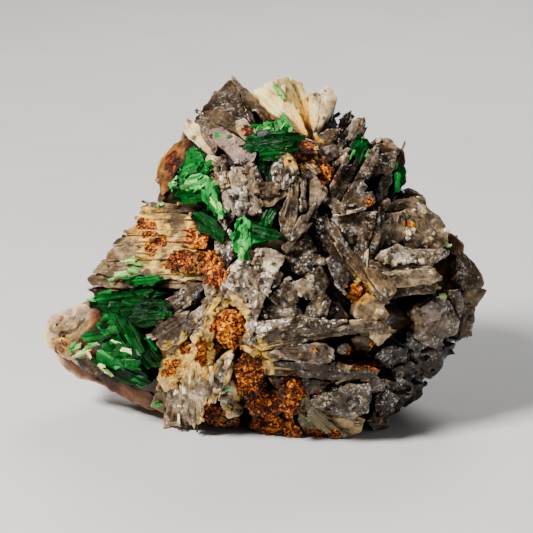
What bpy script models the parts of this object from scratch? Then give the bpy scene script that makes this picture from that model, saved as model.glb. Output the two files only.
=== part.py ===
# Torbernite on a boxwork of bladed quartz: a loose hand piece about 44 mm wide.
#
# The stone was drawn on a sheet 53.3 mm square that stands across the sight line, 15 degrees above level.
# A sheet point is (x, y) in tenths of a millimetre from the sheet's top left corner, x to the right, y down.
# A depth is in millimetres out of the sheet, towards the eye. The eye is SIGHT_DISTANCE in front of the sheet.
# Everything is worked out in millimetres and scaled to metres at the end. World +Z is up, the eye looks along +Y.

import math

import bmesh
import bpy
import numpy as np
from mathutils import Matrix, Vector

METRES = 0.001  # metres in a millimetre
TENTH = 0.1  # millimetres in one unit of the sheet
SHEET_MIDDLE = 266.5
SIGHT_DISTANCE = 300.0
SIGHT_RISE = math.radians(15)
SHEET_SEAT = Vector((0.143, 0.338, 15.2))  # where the sheet's middle is, in millimetres above the resting face
SEAT_GROWTH = 0.42  # how much wider a torbernite plate's seat is than the plate, on every side, in millimetres

RIGHT = Vector((1, 0, 0))
UP = Vector((0, math.sin(SIGHT_RISE), math.cos(SIGHT_RISE)))
NEARER = Vector((0, -math.cos(SIGHT_RISE), math.sin(SIGHT_RISE)))

# The dome that the front of the stone follows.
DOME = {
    "middle": (282, 285),
    "top": 10.5,
    "drop": 12.0,
    "power": 2.6,
    "follow": 0.8,  # how much of the dome's slope a block's front takes
    "back": 11.5,
    "back_power": 3.4,
    "left_from": 200,
    "left_fall": 0.026,
    "head_from": 150,
    "head_fall": 0.03,
    "right_from": 420,
    "right_fall": 0.03,
    "gather": 0.14,  # how far a block's back leans in to the middle, for each unit that it stands off it
}

# The stone's outline on the sheet, clockwise from the tip of the left lobe.
RIM = [
    (44, 332), (52, 316), (68, 308), (90, 299), (90, 279), (100, 263), (113, 244), (130, 227), (142, 207),
    (160, 196), (157, 170), (174, 144), (185, 121), (205, 106), (229, 80), (240, 82), (252, 91), (270, 81),
    (289, 77), (309, 93), (328, 88), (336, 106), (344, 122), (358, 126), (368, 146), (390, 142), (402, 154),
    (404, 188), (425, 203), (446, 230), (463, 246), (484, 280), (484, 298), (473, 318), (469, 336),
    (449, 348), (441, 368), (425, 388), (406, 408), (390, 426), (376, 438), (344, 442), (300, 444),
    (262, 436), (222, 430), (176, 428), (154, 412), (125, 400), (100, 384), (78, 378), (60, 362), (50, 350),
]

# Low swells and pits of the body under the blades: sheet point, radii in sheet units, height in millimetres.
SWELLS = {
    "lobe": ((100, 345), (52, 34), 1.6),
    "lobe_tip": ((62, 335), (22, 20), 0.9),
    "lower_lobe": ((130, 388), (30, 16), 1.0),
    "right_rim": ((462, 292), (18, 30), 0.8),
    "crown_pit": ((266, 168), (12, 10), -1.6),
    "stem_pit": ((320, 236), (10, 24), -3.4),
    "wedge_pit": ((346, 246), (9, 20), -2.6),
    "recess": ((300, 292), (30, 30), -0.9),
    "block_pit": ((374, 183), (9, 11), -2.4),
    "right_slot": ((412, 302), (26, 6), -2.4),
    "right_hollow": ((447, 280), (8, 18), -1.8),
    "cave": ((362, 355), (28, 12), -2.6),
    "rust_pit": ((312, 158), (14, 12), -1.4),
    "foot_gap": ((372, 404), (5, 14), -1.8),
    "skirt_gap": ((209, 388), (4, 18), -1.2),
}


def block(outline, lift, lean=(0.0, 0.0), run=(0.0, 0.0, -6.0), taper=0.9):
    """A blade or lump with a flat front: its outline on the sheet, how far its middle stands out of the dome,
    how its front leans (rise to the right, rise upwards), and how far and how narrow it runs back."""
    return {"outline": outline, "lift": lift, "lean": lean, "run": run, "taper": taper}


PEAK = {
    "peak_face": block([(196, 124), (204, 107), (216, 94), (229, 80), (235, 86), (242, 104), (249, 119),
                        (236, 121), (220, 115), (207, 117)], 1.0, (-0.25, 0.15), (0.5, -1.5, -6)),
    "peak_ridge": block([(230, 79), (237, 80), (250, 93), (263, 108), (277, 124), (272, 130), (258, 114),
                         (243, 96)], 2.3, (0.2, 0), (-0.6, -1.4, -7)),
    "peak_ledge": block([(204, 113), (216, 109), (230, 114), (243, 122), (254, 133), (246, 139), (231, 129),
                         (214, 122)], 1.9, (0.1, -0.2)),
    "brow_left": block([(197, 121), (208, 116), (224, 124), (238, 134), (230, 143), (214, 131), (201, 131)],
                       1.6, (-0.2, -0.2)),
    "brow_plate": block([(207, 131), (222, 127), (240, 139), (257, 153), (248, 168), (235, 160), (220, 147)],
                        2.0, (0.15, -0.35)),
    "nose": block([(236, 121), (245, 119), (254, 129), (255, 137), (244, 139), (237, 131)], 2.4, (0.3, -0.2)),
}

SHOULDER = {
    "shoulder_column": block([(184, 121), (190, 118), (198, 126), (208, 138), (216, 152), (212, 161),
                              (203, 150), (191, 139), (184, 134)], 1.6, (0.1, 0.2), (1.2, -0.5, -6)),
    "shoulder_rim": block([(157, 168), (163, 156), (176, 144), (187, 138), (198, 148), (190, 162), (176, 170),
                           (171, 187), (163, 195), (158, 180)], 0.9, (0.2, 0.1), (2, -1, -6)),
    "shoulder_low": block([(161, 192), (171, 186), (182, 196), (186, 204), (168, 207), (157, 201)], 0.6,
                          (0.2, 0), (2, 0, -5)),
    "knob_column": block([(208, 154), (216, 157), (214, 176), (222, 187), (216, 197), (207, 184), (204, 168)],
                         2.0, (0.2, 0)),
    "knob_head": block([(214, 158), (226, 155), (228, 168), (231, 181), (224, 192), (215, 183)], 2.7,
                       (-0.2, 0.2)),
    "knob_neck": block([(216, 186), (229, 181), (233, 200), (229, 213), (220, 206)], 2.3, (0.1, -0.1)),
    "knob_foot": block([(221, 205), (232, 207), (233, 218), (226, 231), (219, 221)], 1.9, (0.2, -0.2)),
}

CROWN = {
    "crown_left": block([(229, 173), (236, 167), (248, 168), (251, 182), (246, 190), (232, 188)], 3.0,
                        (-0.2, 0.2)),
    "crown_hump": block([(248, 169), (254, 163), (261, 176), (263, 190), (256, 196), (248, 187)], 3.4,
                        (0.2, 0.2)),
    "crown_lump": block([(258, 183), (270, 182), (281, 185), (277, 194), (264, 198), (256, 193)], 3.7,
                        (0, 0.3)),
    "crown_horn": block([(272, 170), (276, 157), (284, 151), (292, 157), (298, 168), (294, 180), (285, 190),
                         (275, 186)], 3.6, (0.15, 0.1)),
    "crown_skirt": block([(263, 197), (278, 193), (291, 182), (287, 195), (271, 206), (260, 206)], 2.8,
                         (0.1, -0.4)),
    "crown_prism": block([(232, 187), (246, 187), (249, 204), (244, 216), (236, 215), (230, 203)], 3.6,
                         (-0.1, -0.2)),
    "crown_base": block([(247, 188), (258, 194), (263, 204), (256, 214), (246, 213)], 3.0, (0.1, -0.3)),
}

FAN = {
    "fan_first": block([(254, 92), (262, 86), (277, 98), (293, 118), (305, 136), (296, 137), (280, 121),
                        (264, 105)], 0.9, (-0.1, 0.2), (0, -2, -6)),
    "fan_second": block([(263, 86), (274, 80), (286, 94), (300, 116), (309, 138), (302, 137), (288, 118),
                         (274, 99)], 1.3, (0.2, 0.2), (0, -2, -6)),
    "fan_third": block([(275, 80), (288, 77), (295, 90), (306, 116), (312, 142), (306, 141), (298, 117),
                        (284, 95)], 1.7, (-0.2, 0.2), (0, -2, -6)),
    "fan_fourth": block([(289, 77), (302, 83), (307, 96), (314, 122), (316, 144), (311, 143), (304, 117),
                         (294, 93)], 1.4, (0.2, 0.2), (0, -2, -6)),
    "fan_lobe": block([(308, 93), (318, 94), (328, 86), (337, 98), (333, 109), (323, 123), (316, 142),
                       (311, 122)], 1.6, (0.2, 0.1), (-0.5, -2, -6)),
    "fan_side": block([(317, 136), (328, 130), (334, 129), (337, 138), (330, 146), (319, 148)], 1.9,
                      (0.2, 0.2)),
    "fan_root": block([(293, 135), (306, 139), (317, 142), (318, 152), (306, 157), (295, 147)], 1.5,
                      (0, -0.3)),
    "mauve_lump": block([(320, 147), (332, 141), (338, 147), (337, 158), (327, 161), (319, 155)], 1.4,
                        (0.1, -0.1)),
    "rust_fibres": block([(290, 147), (298, 143), (314, 162), (322, 172), (314, 173), (300, 162)], 1.6,
                         (0, -0.2)),
    "rust_plate": block([(318, 163), (324, 157), (334, 170), (332, 180), (325, 183), (319, 174)], 2.3,
                        (0.3, 0)),
}

SPEARS = {
    "spear": block([(334, 132), (344, 115), (352, 110), (350, 119), (342, 135), (337, 139)], 1.7, (-0.2, 0),
                   (0.8, -1, -6)),
    "spear_low": block([(338, 139), (344, 133), (343, 147), (336, 159), (331, 163), (329, 156)], 1.6,
                       (-0.2, 0), (0.8, 0, -5)),
    "pale_spear": block([(352, 121), (364, 117), (366, 123), (360, 136), (352, 148), (345, 147), (350, 133)],
                        2.1, (0.3, 0.1), (0.6, -1, -6)),
    "pale_spear_low": block([(346, 148), (352, 149), (344, 159), (338, 162), (340, 153)], 1.9, (0, 0),
                            (1, 0, -5)),
    "sliver": block([(347, 153), (351, 157), (336, 189), (331, 192), (330, 184), (339, 169)], 2.8, (0, 0),
                    (1, 0.5, -7)),
    "brown_slab": block([(346, 168), (357, 161), (358, 166), (346, 189), (337, 204), (332, 199), (334, 190)],
                        2.5, (-0.2, 0.1), (1, 0.5, -7)),
    "long_slab": block([(363, 165), (372, 148), (380, 148), (379, 160), (366, 178), (353, 200), (346, 209),
                        (341, 203), (351, 186)], 2.9, (-0.3, 0), (1, 0.5, -7)),
}

UPPER_BLOCK = {
    "block_top": block([(370, 144), (378, 138), (390, 139), (397, 147), (398, 153), (384, 157), (372, 158)],
                       1.5, (0, 0.4)),
    "block_face": block([(369, 160), (384, 154), (397, 152), (393, 169), (385, 177), (383, 172), (369, 174),
                         (364, 168)], 2.3, (0.1, 0.1)),
    "block_inner": block([(384, 173), (391, 171), (392, 182), (381, 200), (374, 202), (379, 186)], 1.9,
                         (-0.4, 0)),
    "block_wing": block([(396, 151), (403, 151), (405, 166), (403, 185), (396, 190), (393, 176)], 1.0,
                        (0.2, 0), (-0.5, 0, -6)),
    "block_glint": block([(353, 185), (361, 180), (368, 187), (363, 194), (355, 193)], 3.2, (0.1, 0.3)),
    "block_low": block([(346, 207), (354, 195), (373, 191), (374, 203), (357, 212), (338, 213), (333, 205)],
                       2.8, (0.1, -0.3)),
    "block_corner": block([(330, 190), (338, 200), (345, 208), (336, 213), (327, 204)], 2.5, (-0.2, -0.1)),
    "wedge": block([(331, 218), (350, 214), (377, 212), (374, 226), (366, 250), (360, 264), (354, 261),
                    (343, 241)], 2.4, (0.25, 0.1), (0.3, 0, -6)),
    "wedge_edge": block([(378, 212), (386, 213), (379, 240), (371, 262), (364, 264), (371, 242)], 2.7,
                        (0, 0), (-0.4, 0, -6)),
    "wedge_rib": block([(387, 213), (391, 216), (383, 244), (377, 260), (374, 253)], 1.9, (0, 0)),
}

RIGHT_SIDE = {
    "ridge": block([(386, 207), (396, 201), (412, 197), (424, 197), (427, 206), (412, 206), (400, 212),
                    (389, 214)], 2.0, (0, 0.5)),
    "far_hill": block([(400, 190), (410, 188), (422, 196), (424, 204), (410, 204), (398, 202)], 0.5,
                      (0.2, 0.3), (-1, -1, -6)),
    "cheek_left": block([(389, 214), (403, 212), (405, 226), (403, 238), (392, 247), (384, 249), (386, 232)],
                        1.8, (0.3, 0.1)),
    "cheek": block([(404, 211), (424, 205), (440, 219), (448, 232), (447, 246), (430, 251), (412, 251),
                    (402, 240), (405, 225)], 2.4, (-0.1, 0.15)),
    "cheek_lip": block([(383, 250), (396, 246), (411, 249), (430, 249), (445, 249), (449, 254), (431, 266),
                        (412, 262), (390, 264), (375, 259)], 3.1, (0, -0.3), (0, 0.6, -7)),
    "bar_upper": block([(361, 262), (376, 262), (400, 265), (424, 262), (428, 268), (404, 273), (380, 272),
                        (364, 267)], 2.5, (0, 0), (0, 0.5, -7)),
    "thick_bar": block([(370, 279), (388, 274), (404, 272), (430, 266), (442, 277), (434, 283), (404, 287),
                        (384, 288)], 3.4, (0.1, 0.2), (0, 0.3, -8)),
    "bar_under": block([(374, 285), (404, 284), (438, 282), (434, 293), (406, 295), (388, 300), (380, 297)],
                       2.8, (0, -0.5), (0, 0.5, -8)),
    "bar_front": block([(363, 268), (376, 270), (390, 279), (397, 291), (388, 300), (378, 290), (370, 280)],
                       3.5, (-0.2, 0), (0.3, 0.5, -7)),
    "rim_top": block([(445, 233), (452, 234), (463, 244), (463, 252), (456, 257), (446, 249)], 1.3,
                     (0.3, 0.3), (-1, -1, -6)),
    "rim_brow": block([(459, 249), (470, 260), (482, 275), (484, 285), (474, 292), (460, 288), (455, 276),
                       (456, 260)], 1.1, (-0.1, 0.1), (-2, -1, -6)),
    "rim_cheek": block([(474, 288), (487, 290), (482, 298), (476, 306), (462, 307), (456, 296)], 1.3,
                       (0.1, -0.1), (-2, 0, -6)),
    "rim_jaw": block([(447, 297), (460, 292), (474, 306), (474, 320), (470, 335), (458, 341), (450, 331),
                      (454, 312)], 0.8, (0.2, -0.1), (-2, 0, -6)),
    "boulder": block([(413, 312), (422, 302), (436, 298), (448, 302), (455, 314), (457, 330), (446, 342),
                      (428, 346), (417, 334)], 2.3, (0.1, 0.1), (-0.5, 0, -6), 0.75),
    "boulder_low": block([(408, 331), (418, 334), (428, 346), (418, 351), (406, 345)], 1.6, (-0.2, -0.1)),
}

CRACK = {
    "lamella": block([(328, 223), (334, 222), (345, 240), (361, 262), (378, 284), (389, 300), (384, 305),
                      (366, 284), (348, 262), (336, 244)], 3.0, (0, 0), (-0.8, -0.5, -7)),
    "lamella_under": block([(320, 238), (327, 233), (340, 251), (356, 271), (366, 283), (361, 289), (345, 270),
                            (330, 253)], 2.2, (0, 0), (-0.5, -0.3, -6)),
    "grey_prism": block([(326, 259), (333, 256), (348, 272), (351, 280), (342, 289), (333, 276)], 2.7,
                        (-0.4, 0.1), (0.3, 0, -6)),
    "knob_lump": block([(358, 303), (368, 293), (378, 300), (388, 314), (386, 320), (366, 323), (356, 318)],
                       3.2, (0, 0.1)),
    "rust_seat": block([(351, 287), (364, 284), (369, 292), (360, 300), (351, 299)], 1.9, (0, 0.2)),
}

STEMS = {
    "olive_bar": block([(262, 208), (270, 203), (285, 190), (281, 204), (263, 227), (253, 223)], 1.6,
                       (0.2, -0.2)),
    "left_stem": block([(284, 205), (296, 176), (299, 181), (298, 204), (296, 222), (288, 237), (282, 232),
                        (279, 216)], 2.9, (-0.2, 0)),
    "middle_stem": block([(301, 172), (306, 177), (307, 209), (300, 211)], 2.7, (0, 0.1)),
    "right_stem": block([(309, 182), (317, 178), (325, 188), (327, 196), (318, 207), (309, 209)], 2.9,
                        (0.2, 0.1)),
    "stem_top": block([(298, 163), (308, 170), (321, 182), (328, 191), (320, 187), (302, 176)], 2.1,
                      (0.2, 0.2)),
    "light_bar": block([(300, 216), (311, 213), (306, 227), (294, 244), (287, 254), (282, 247), (293, 232)],
                       3.6, (0.1, 0), (-0.4, 0, -6)),
}

CENTRE = {
    "olive_plate": block([(252, 243), (262, 236), (287, 236), (285, 245), (270, 251), (254, 251)], 2.7,
                         (0, 0.4)),
    "druse_top": block([(247, 250), (270, 249), (285, 256), (277, 272), (262, 275), (250, 266)], 3.3,
                       (0.1, 0.25)),
    "druse_left": block([(233, 266), (250, 251), (259, 276), (256, 301), (243, 297), (225, 286)], 3.2,
                        (-0.25, 0.1)),
    "druse_right": block([(258, 275), (276, 271), (268, 292), (257, 318), (253, 336), (246, 319), (245, 300)],
                         3.5, (0.1, -0.05)),
    "druse_foot": block([(219, 285), (228, 279), (245, 297), (249, 318), (238, 309), (226, 299)], 2.8,
                        (-0.2, -0.2)),
    "druse_ribs": block([(225, 273), (244, 251), (250, 252), (232, 277), (221, 291)], 2.9, (-0.3, 0)),
    "foot_rib": block([(240, 316), (252, 330), (253, 344), (244, 346), (240, 332)], 2.6, (-0.1, 0)),
    "recess_head": block([(305, 232), (316, 252), (323, 263), (306, 263), (291, 263), (287, 256)], 1.9,
                         (0, -0.2)),
    "recess_wall": block([(308, 277), (320, 266), (327, 282), (322, 293), (309, 287)], 2.0, (-0.4, 0)),
    "recess_step": block([(293, 282), (304, 279), (315, 288), (312, 299), (300, 295)], 2.8, (0.1, 0.2)),
    "recess_lump": block([(269, 297), (280, 290), (287, 281), (295, 290), (297, 302), (282, 305)], 2.5,
                         (0, 0.1)),
    "recess_tooth": block([(268, 281), (276, 271), (283, 274), (279, 284), (272, 289)], 2.6, (0.2, 0)),
    "recess_floor": block([(262, 307), (276, 304), (296, 306), (303, 318), (284, 323), (262, 320)], 2.0,
                          (0, -0.1)),
    "recess_pillar": block([(304, 317), (312, 298), (322, 291), (331, 300), (326, 319), (314, 323)], 2.3,
                           (0.2, 0)),
    "recess_end": block([(330, 299), (340, 305), (350, 318), (341, 323), (327, 322)], 1.8, (0.1, 0)),
    "recess_bar": block([(254, 319), (270, 322), (300, 318), (322, 321), (346, 321), (322, 331), (290, 337),
                         (262, 347), (253, 343)], 3.3, (0, -0.1)),
}

LOW_BLADES = {
    "top_blade": block([(256, 347), (290, 338), (330, 328), (364, 322), (386, 321), (388, 333), (362, 333),
                        (330, 337), (290, 345), (262, 351)], 3.2, (0, 0), (0, 0.7, -8)),
    "top_blade_tip": block([(371, 325), (384, 320), (391, 328), (388, 337), (378, 345), (369, 337)], 3.4,
                           (-0.2, 0)),
    "round_blade": block([(262, 353), (290, 345), (322, 343), (334, 350), (331, 362), (318, 365), (290, 359),
                          (266, 359)], 3.6, (0, 0.1), (0, 0.5, -8)),
    "dark_blade": block([(263, 361), (300, 362), (340, 367), (377, 371), (375, 378), (340, 381), (300, 377),
                         (266, 375)], 3.2, (0, 0.3), (0, 0.5, -8)),
    "shade_blade": block([(268, 377), (300, 378), (332, 382), (322, 391), (300, 397), (276, 389)], 2.2,
                         (0, -0.2)),
    "cave_rock": block([(351, 339), (362, 334), (375, 340), (369, 351), (356, 349)], 1.5, (0, 0.2)),
    "cave_shelf": block([(378, 351), (392, 346), (407, 350), (405, 361), (388, 367), (375, 359)], 1.2,
                        (0, 0.3)),
    "low_rim": block([(409, 351), (440, 342), (447, 350), (442, 367), (430, 379), (415, 371)], 0.5,
                     (0.1, 0), (-2, 0, -6)),
    "low_corner": block([(384, 381), (398, 378), (413, 384), (410, 398), (396, 397), (385, 392)], 2.0,
                        (0.1, 0.1)),
    "low_edge": block([(404, 389), (425, 383), (421, 396), (405, 407), (396, 402)], 1.4, (0.2, 0),
                      (-1.5, 0, -6)),
}

FOOT = {
    "claw": block([(376, 397), (386, 390), (399, 398), (391, 412), (382, 419), (376, 408)], 2.8, (0.2, 0)),
    "claw_foot": block([(371, 417), (380, 418), (388, 413), (388, 428), (384, 436), (373, 431)], 2.4,
                       (0, 0.1)),
    "round_stud": block([(367, 381), (376, 376), (385, 382), (384, 391), (374, 393), (367, 388)], 2.8,
                        (0, 0.2)),
    "tapered_blade": block([(311, 403), (330, 394), (346, 388), (367, 386), (369, 398), (366, 411), (352, 417),
                            (332, 413)], 3.7, (0, 0.15), (0, 0.5, -7)),
    "tapered_under": block([(328, 412), (352, 415), (365, 420), (360, 432), (344, 438), (334, 428)], 3.2,
                           (0, -0.1)),
    "olive_blade": block([(299, 399), (308, 396), (317, 408), (331, 422), (344, 434), (334, 440), (318, 425),
                          (303, 412)], 3.2, (0.1, 0)),
    "olive_blade_low": block([(300, 413), (316, 422), (331, 434), (324, 441), (306, 434), (298, 422)], 2.8,
                             (0, 0)),
    "rust_mass_top": block([(215, 318), (226, 308), (241, 312), (245, 330), (240, 345), (226, 347),
                            (216, 337)], 2.8, (-0.1, 0.1)),
    "rust_mass_upper": block([(234, 367), (244, 355), (257, 360), (264, 373), (262, 393), (248, 399),
                              (237, 386)], 2.9, (0, 0.1)),
    "rust_mass": block([(245, 396), (262, 389), (281, 392), (285, 410), (270, 421), (249, 413)], 3.0,
                       (0, 0)),
    "rust_mass_right": block([(280, 389), (292, 380), (302, 388), (299, 408), (290, 421), (281, 409)], 3.4,
                             (0.1, 0)),
    "rust_mass_foot": block([(256, 414), (274, 416), (292, 422), (302, 434), (286, 440), (264, 435),
                             (250, 428)], 3.0, (0, 0)),
    "rust_mass_left": block([(205, 403), (222, 404), (236, 412), (240, 424), (214, 424), (201, 418)], 2.0,
                            (0, 0)),
    "halo_plate": block([(240, 346), (252, 343), (264, 350), (264, 362), (250, 356)], 2.7, (0, 0)),
}

SKIRT = {
    "skirt_left": block([(167, 382), (182, 374), (185, 400), (192, 418), (187, 425), (166, 425), (167, 404)],
                        2.2, (-0.1, 0)),
    "skirt_plate": block([(184, 374), (196, 363), (208, 371), (208, 396), (203, 414), (199, 424), (188, 420),
                          (182, 400)], 2.7, (0.1, 0.1)),
    "skirt_column": block([(210, 376), (222, 356), (233, 350), (229, 372), (222, 392), (214, 403), (209, 400)],
                          2.6, (0.1, 0)),
    "skirt_prism": block([(225, 380), (240, 382), (244, 398), (241, 414), (228, 419), (221, 404)], 2.4,
                         (0.1, 0)),
    "pale_plate": block([(158, 378), (165, 360), (184, 346), (206, 340), (215, 350), (212, 370), (196, 377),
                         (176, 382), (166, 392)], 1.8, (-0.1, 0.1)),
    "pale_edge": block([(151, 406), (157, 385), (167, 380), (168, 400), (166, 414)], 1.2, (0.2, 0)),
    "thick_diagonal": block([(190, 337), (210, 308), (222, 288), (231, 296), (223, 312), (213, 333),
                             (198, 351)], 2.4, (-0.1, 0), (0.5, -0.4, -6)),
    "grey_diagonal": block([(164, 329), (186, 318), (204, 302), (214, 291), (217, 300), (201, 322), (183, 341),
                            (163, 351), (156, 343)], 1.9, (-0.1, 0.1), (0.4, -0.5, -6)),
    "thin_diagonal": block([(149, 337), (160, 324), (176, 314), (189, 311), (185, 320), (168, 331),
                            (154, 341)], 2.5, (0, -0.2), (0.6, 0.4, -6)),
    "brown_diagonal": block([(158, 318), (166, 300), (190, 284), (207, 284), (197, 297), (177, 310),
                             (164, 322)], 1.8, (0, 0.2), (0.4, 0.3, -6)),
    "low_diagonal": block([(157, 352), (181, 342), (197, 341), (181, 357), (160, 368)], 1.5, (0, 0)),
    "join_plate": block([(205, 285), (222, 279), (232, 295), (226, 309), (214, 309), (207, 297)], 2.3,
                        (-0.1, 0.1)),
}

LEDGES = {
    "ledge_first": block([(141, 208), (150, 202), (172, 204), (200, 206), (222, 213), (226, 220), (200, 214),
                          (170, 212), (145, 214)], 1.5, (0, 0.3), (1.5, 0.6, -6)),
    "ledge_second": block([(135, 217), (150, 213), (180, 214), (205, 216), (215, 222), (200, 226), (170, 224),
                           (137, 225)], 1.3, (0, 0), (1.5, 0.4, -6)),
    "ledge_third": block([(128, 229), (140, 223), (170, 224), (198, 226), (207, 234), (180, 236), (150, 235),
                          (127, 235)], 1.7, (0, 0.2), (1.5, 0.3, -6)),
    "ledge_fourth": block([(113, 243), (124, 236), (150, 234), (181, 237), (210, 240), (203, 249), (160, 247),
                           (113, 248)], 1.5, (0, -0.1), (1.5, 0.2, -6)),
    "ledge_fifth": block([(107, 255), (114, 247), (150, 247), (192, 249), (218, 253), (216, 262), (180, 259),
                          (140, 259), (105, 261)], 1.9, (0, 0.2), (1.5, 0, -6)),
    "ledge_sixth": block([(98, 265), (106, 259), (140, 259), (180, 259), (208, 263), (208, 271), (170, 270),
                          (130, 271), (97, 269)], 1.6, (0, 0), (1.5, 0, -6)),
    "ledge_seventh": block([(92, 273), (98, 267), (130, 269), (170, 270), (208, 273), (206, 281), (170, 279),
                            (120, 277)], 1.9, (0, 0.2), (1.5, 0, -6)),
    "ledge_eighth": block([(87, 278), (94, 273), (120, 277), (170, 279), (197, 281), (190, 288), (150, 289),
                           (110, 287), (91, 285)], 1.6, (0, 0), (1.5, 0, -6)),
    "ledge_ninth": block([(92, 288), (110, 286), (150, 288), (163, 292), (150, 299), (120, 299), (96, 297)],
                         1.2, (0, -0.2), (1.5, 0, -6)),
    "rust_shelf": block([(170, 256), (186, 253), (204, 254), (209, 270), (190, 274), (174, 270)], 2.2,
                        (0, 0.1)),
    "rust_shelf_right": block([(202, 258), (212, 252), (222, 262), (226, 274), (216, 288), (205, 284)], 2.4,
                              (0.1, 0)),
    "rust_knob": block([(191, 234), (199, 229), (206, 236), (206, 248), (196, 246)], 2.0, (0, 0.1)),
    "neck_plate": block([(214, 232), (228, 226), (236, 240), (234, 256), (226, 270), (216, 254)], 2.1,
                        (0.1, 0.1)),
}

LOBE = {
    "lobe_head": block([(44, 332), (50, 318), (60, 311), (76, 306), (94, 303), (104, 318), (100, 340), (86, 352),
                        (68, 360), (55, 352), (46, 344)], 1.0, (-0.3, 0.1), (1.0, 0, -5), 0.8),
    "lobe_foot": block([(56, 354), (84, 350), (112, 362), (142, 386), (156, 398), (154, 411), (126, 399),
                        (101, 384), (79, 378), (62, 364)], 0.9, (-0.1, -0.3), (1.0, 0.6, -5), 0.8),
}

GROUPS = (PEAK, SHOULDER, CROWN, FAN, SPEARS, UPPER_BLOCK, RIGHT_SIDE, CRACK, STEMS, CENTRE, LOW_BLADES, FOOT,
          SKIRT, LEDGES, LOBE)

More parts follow.
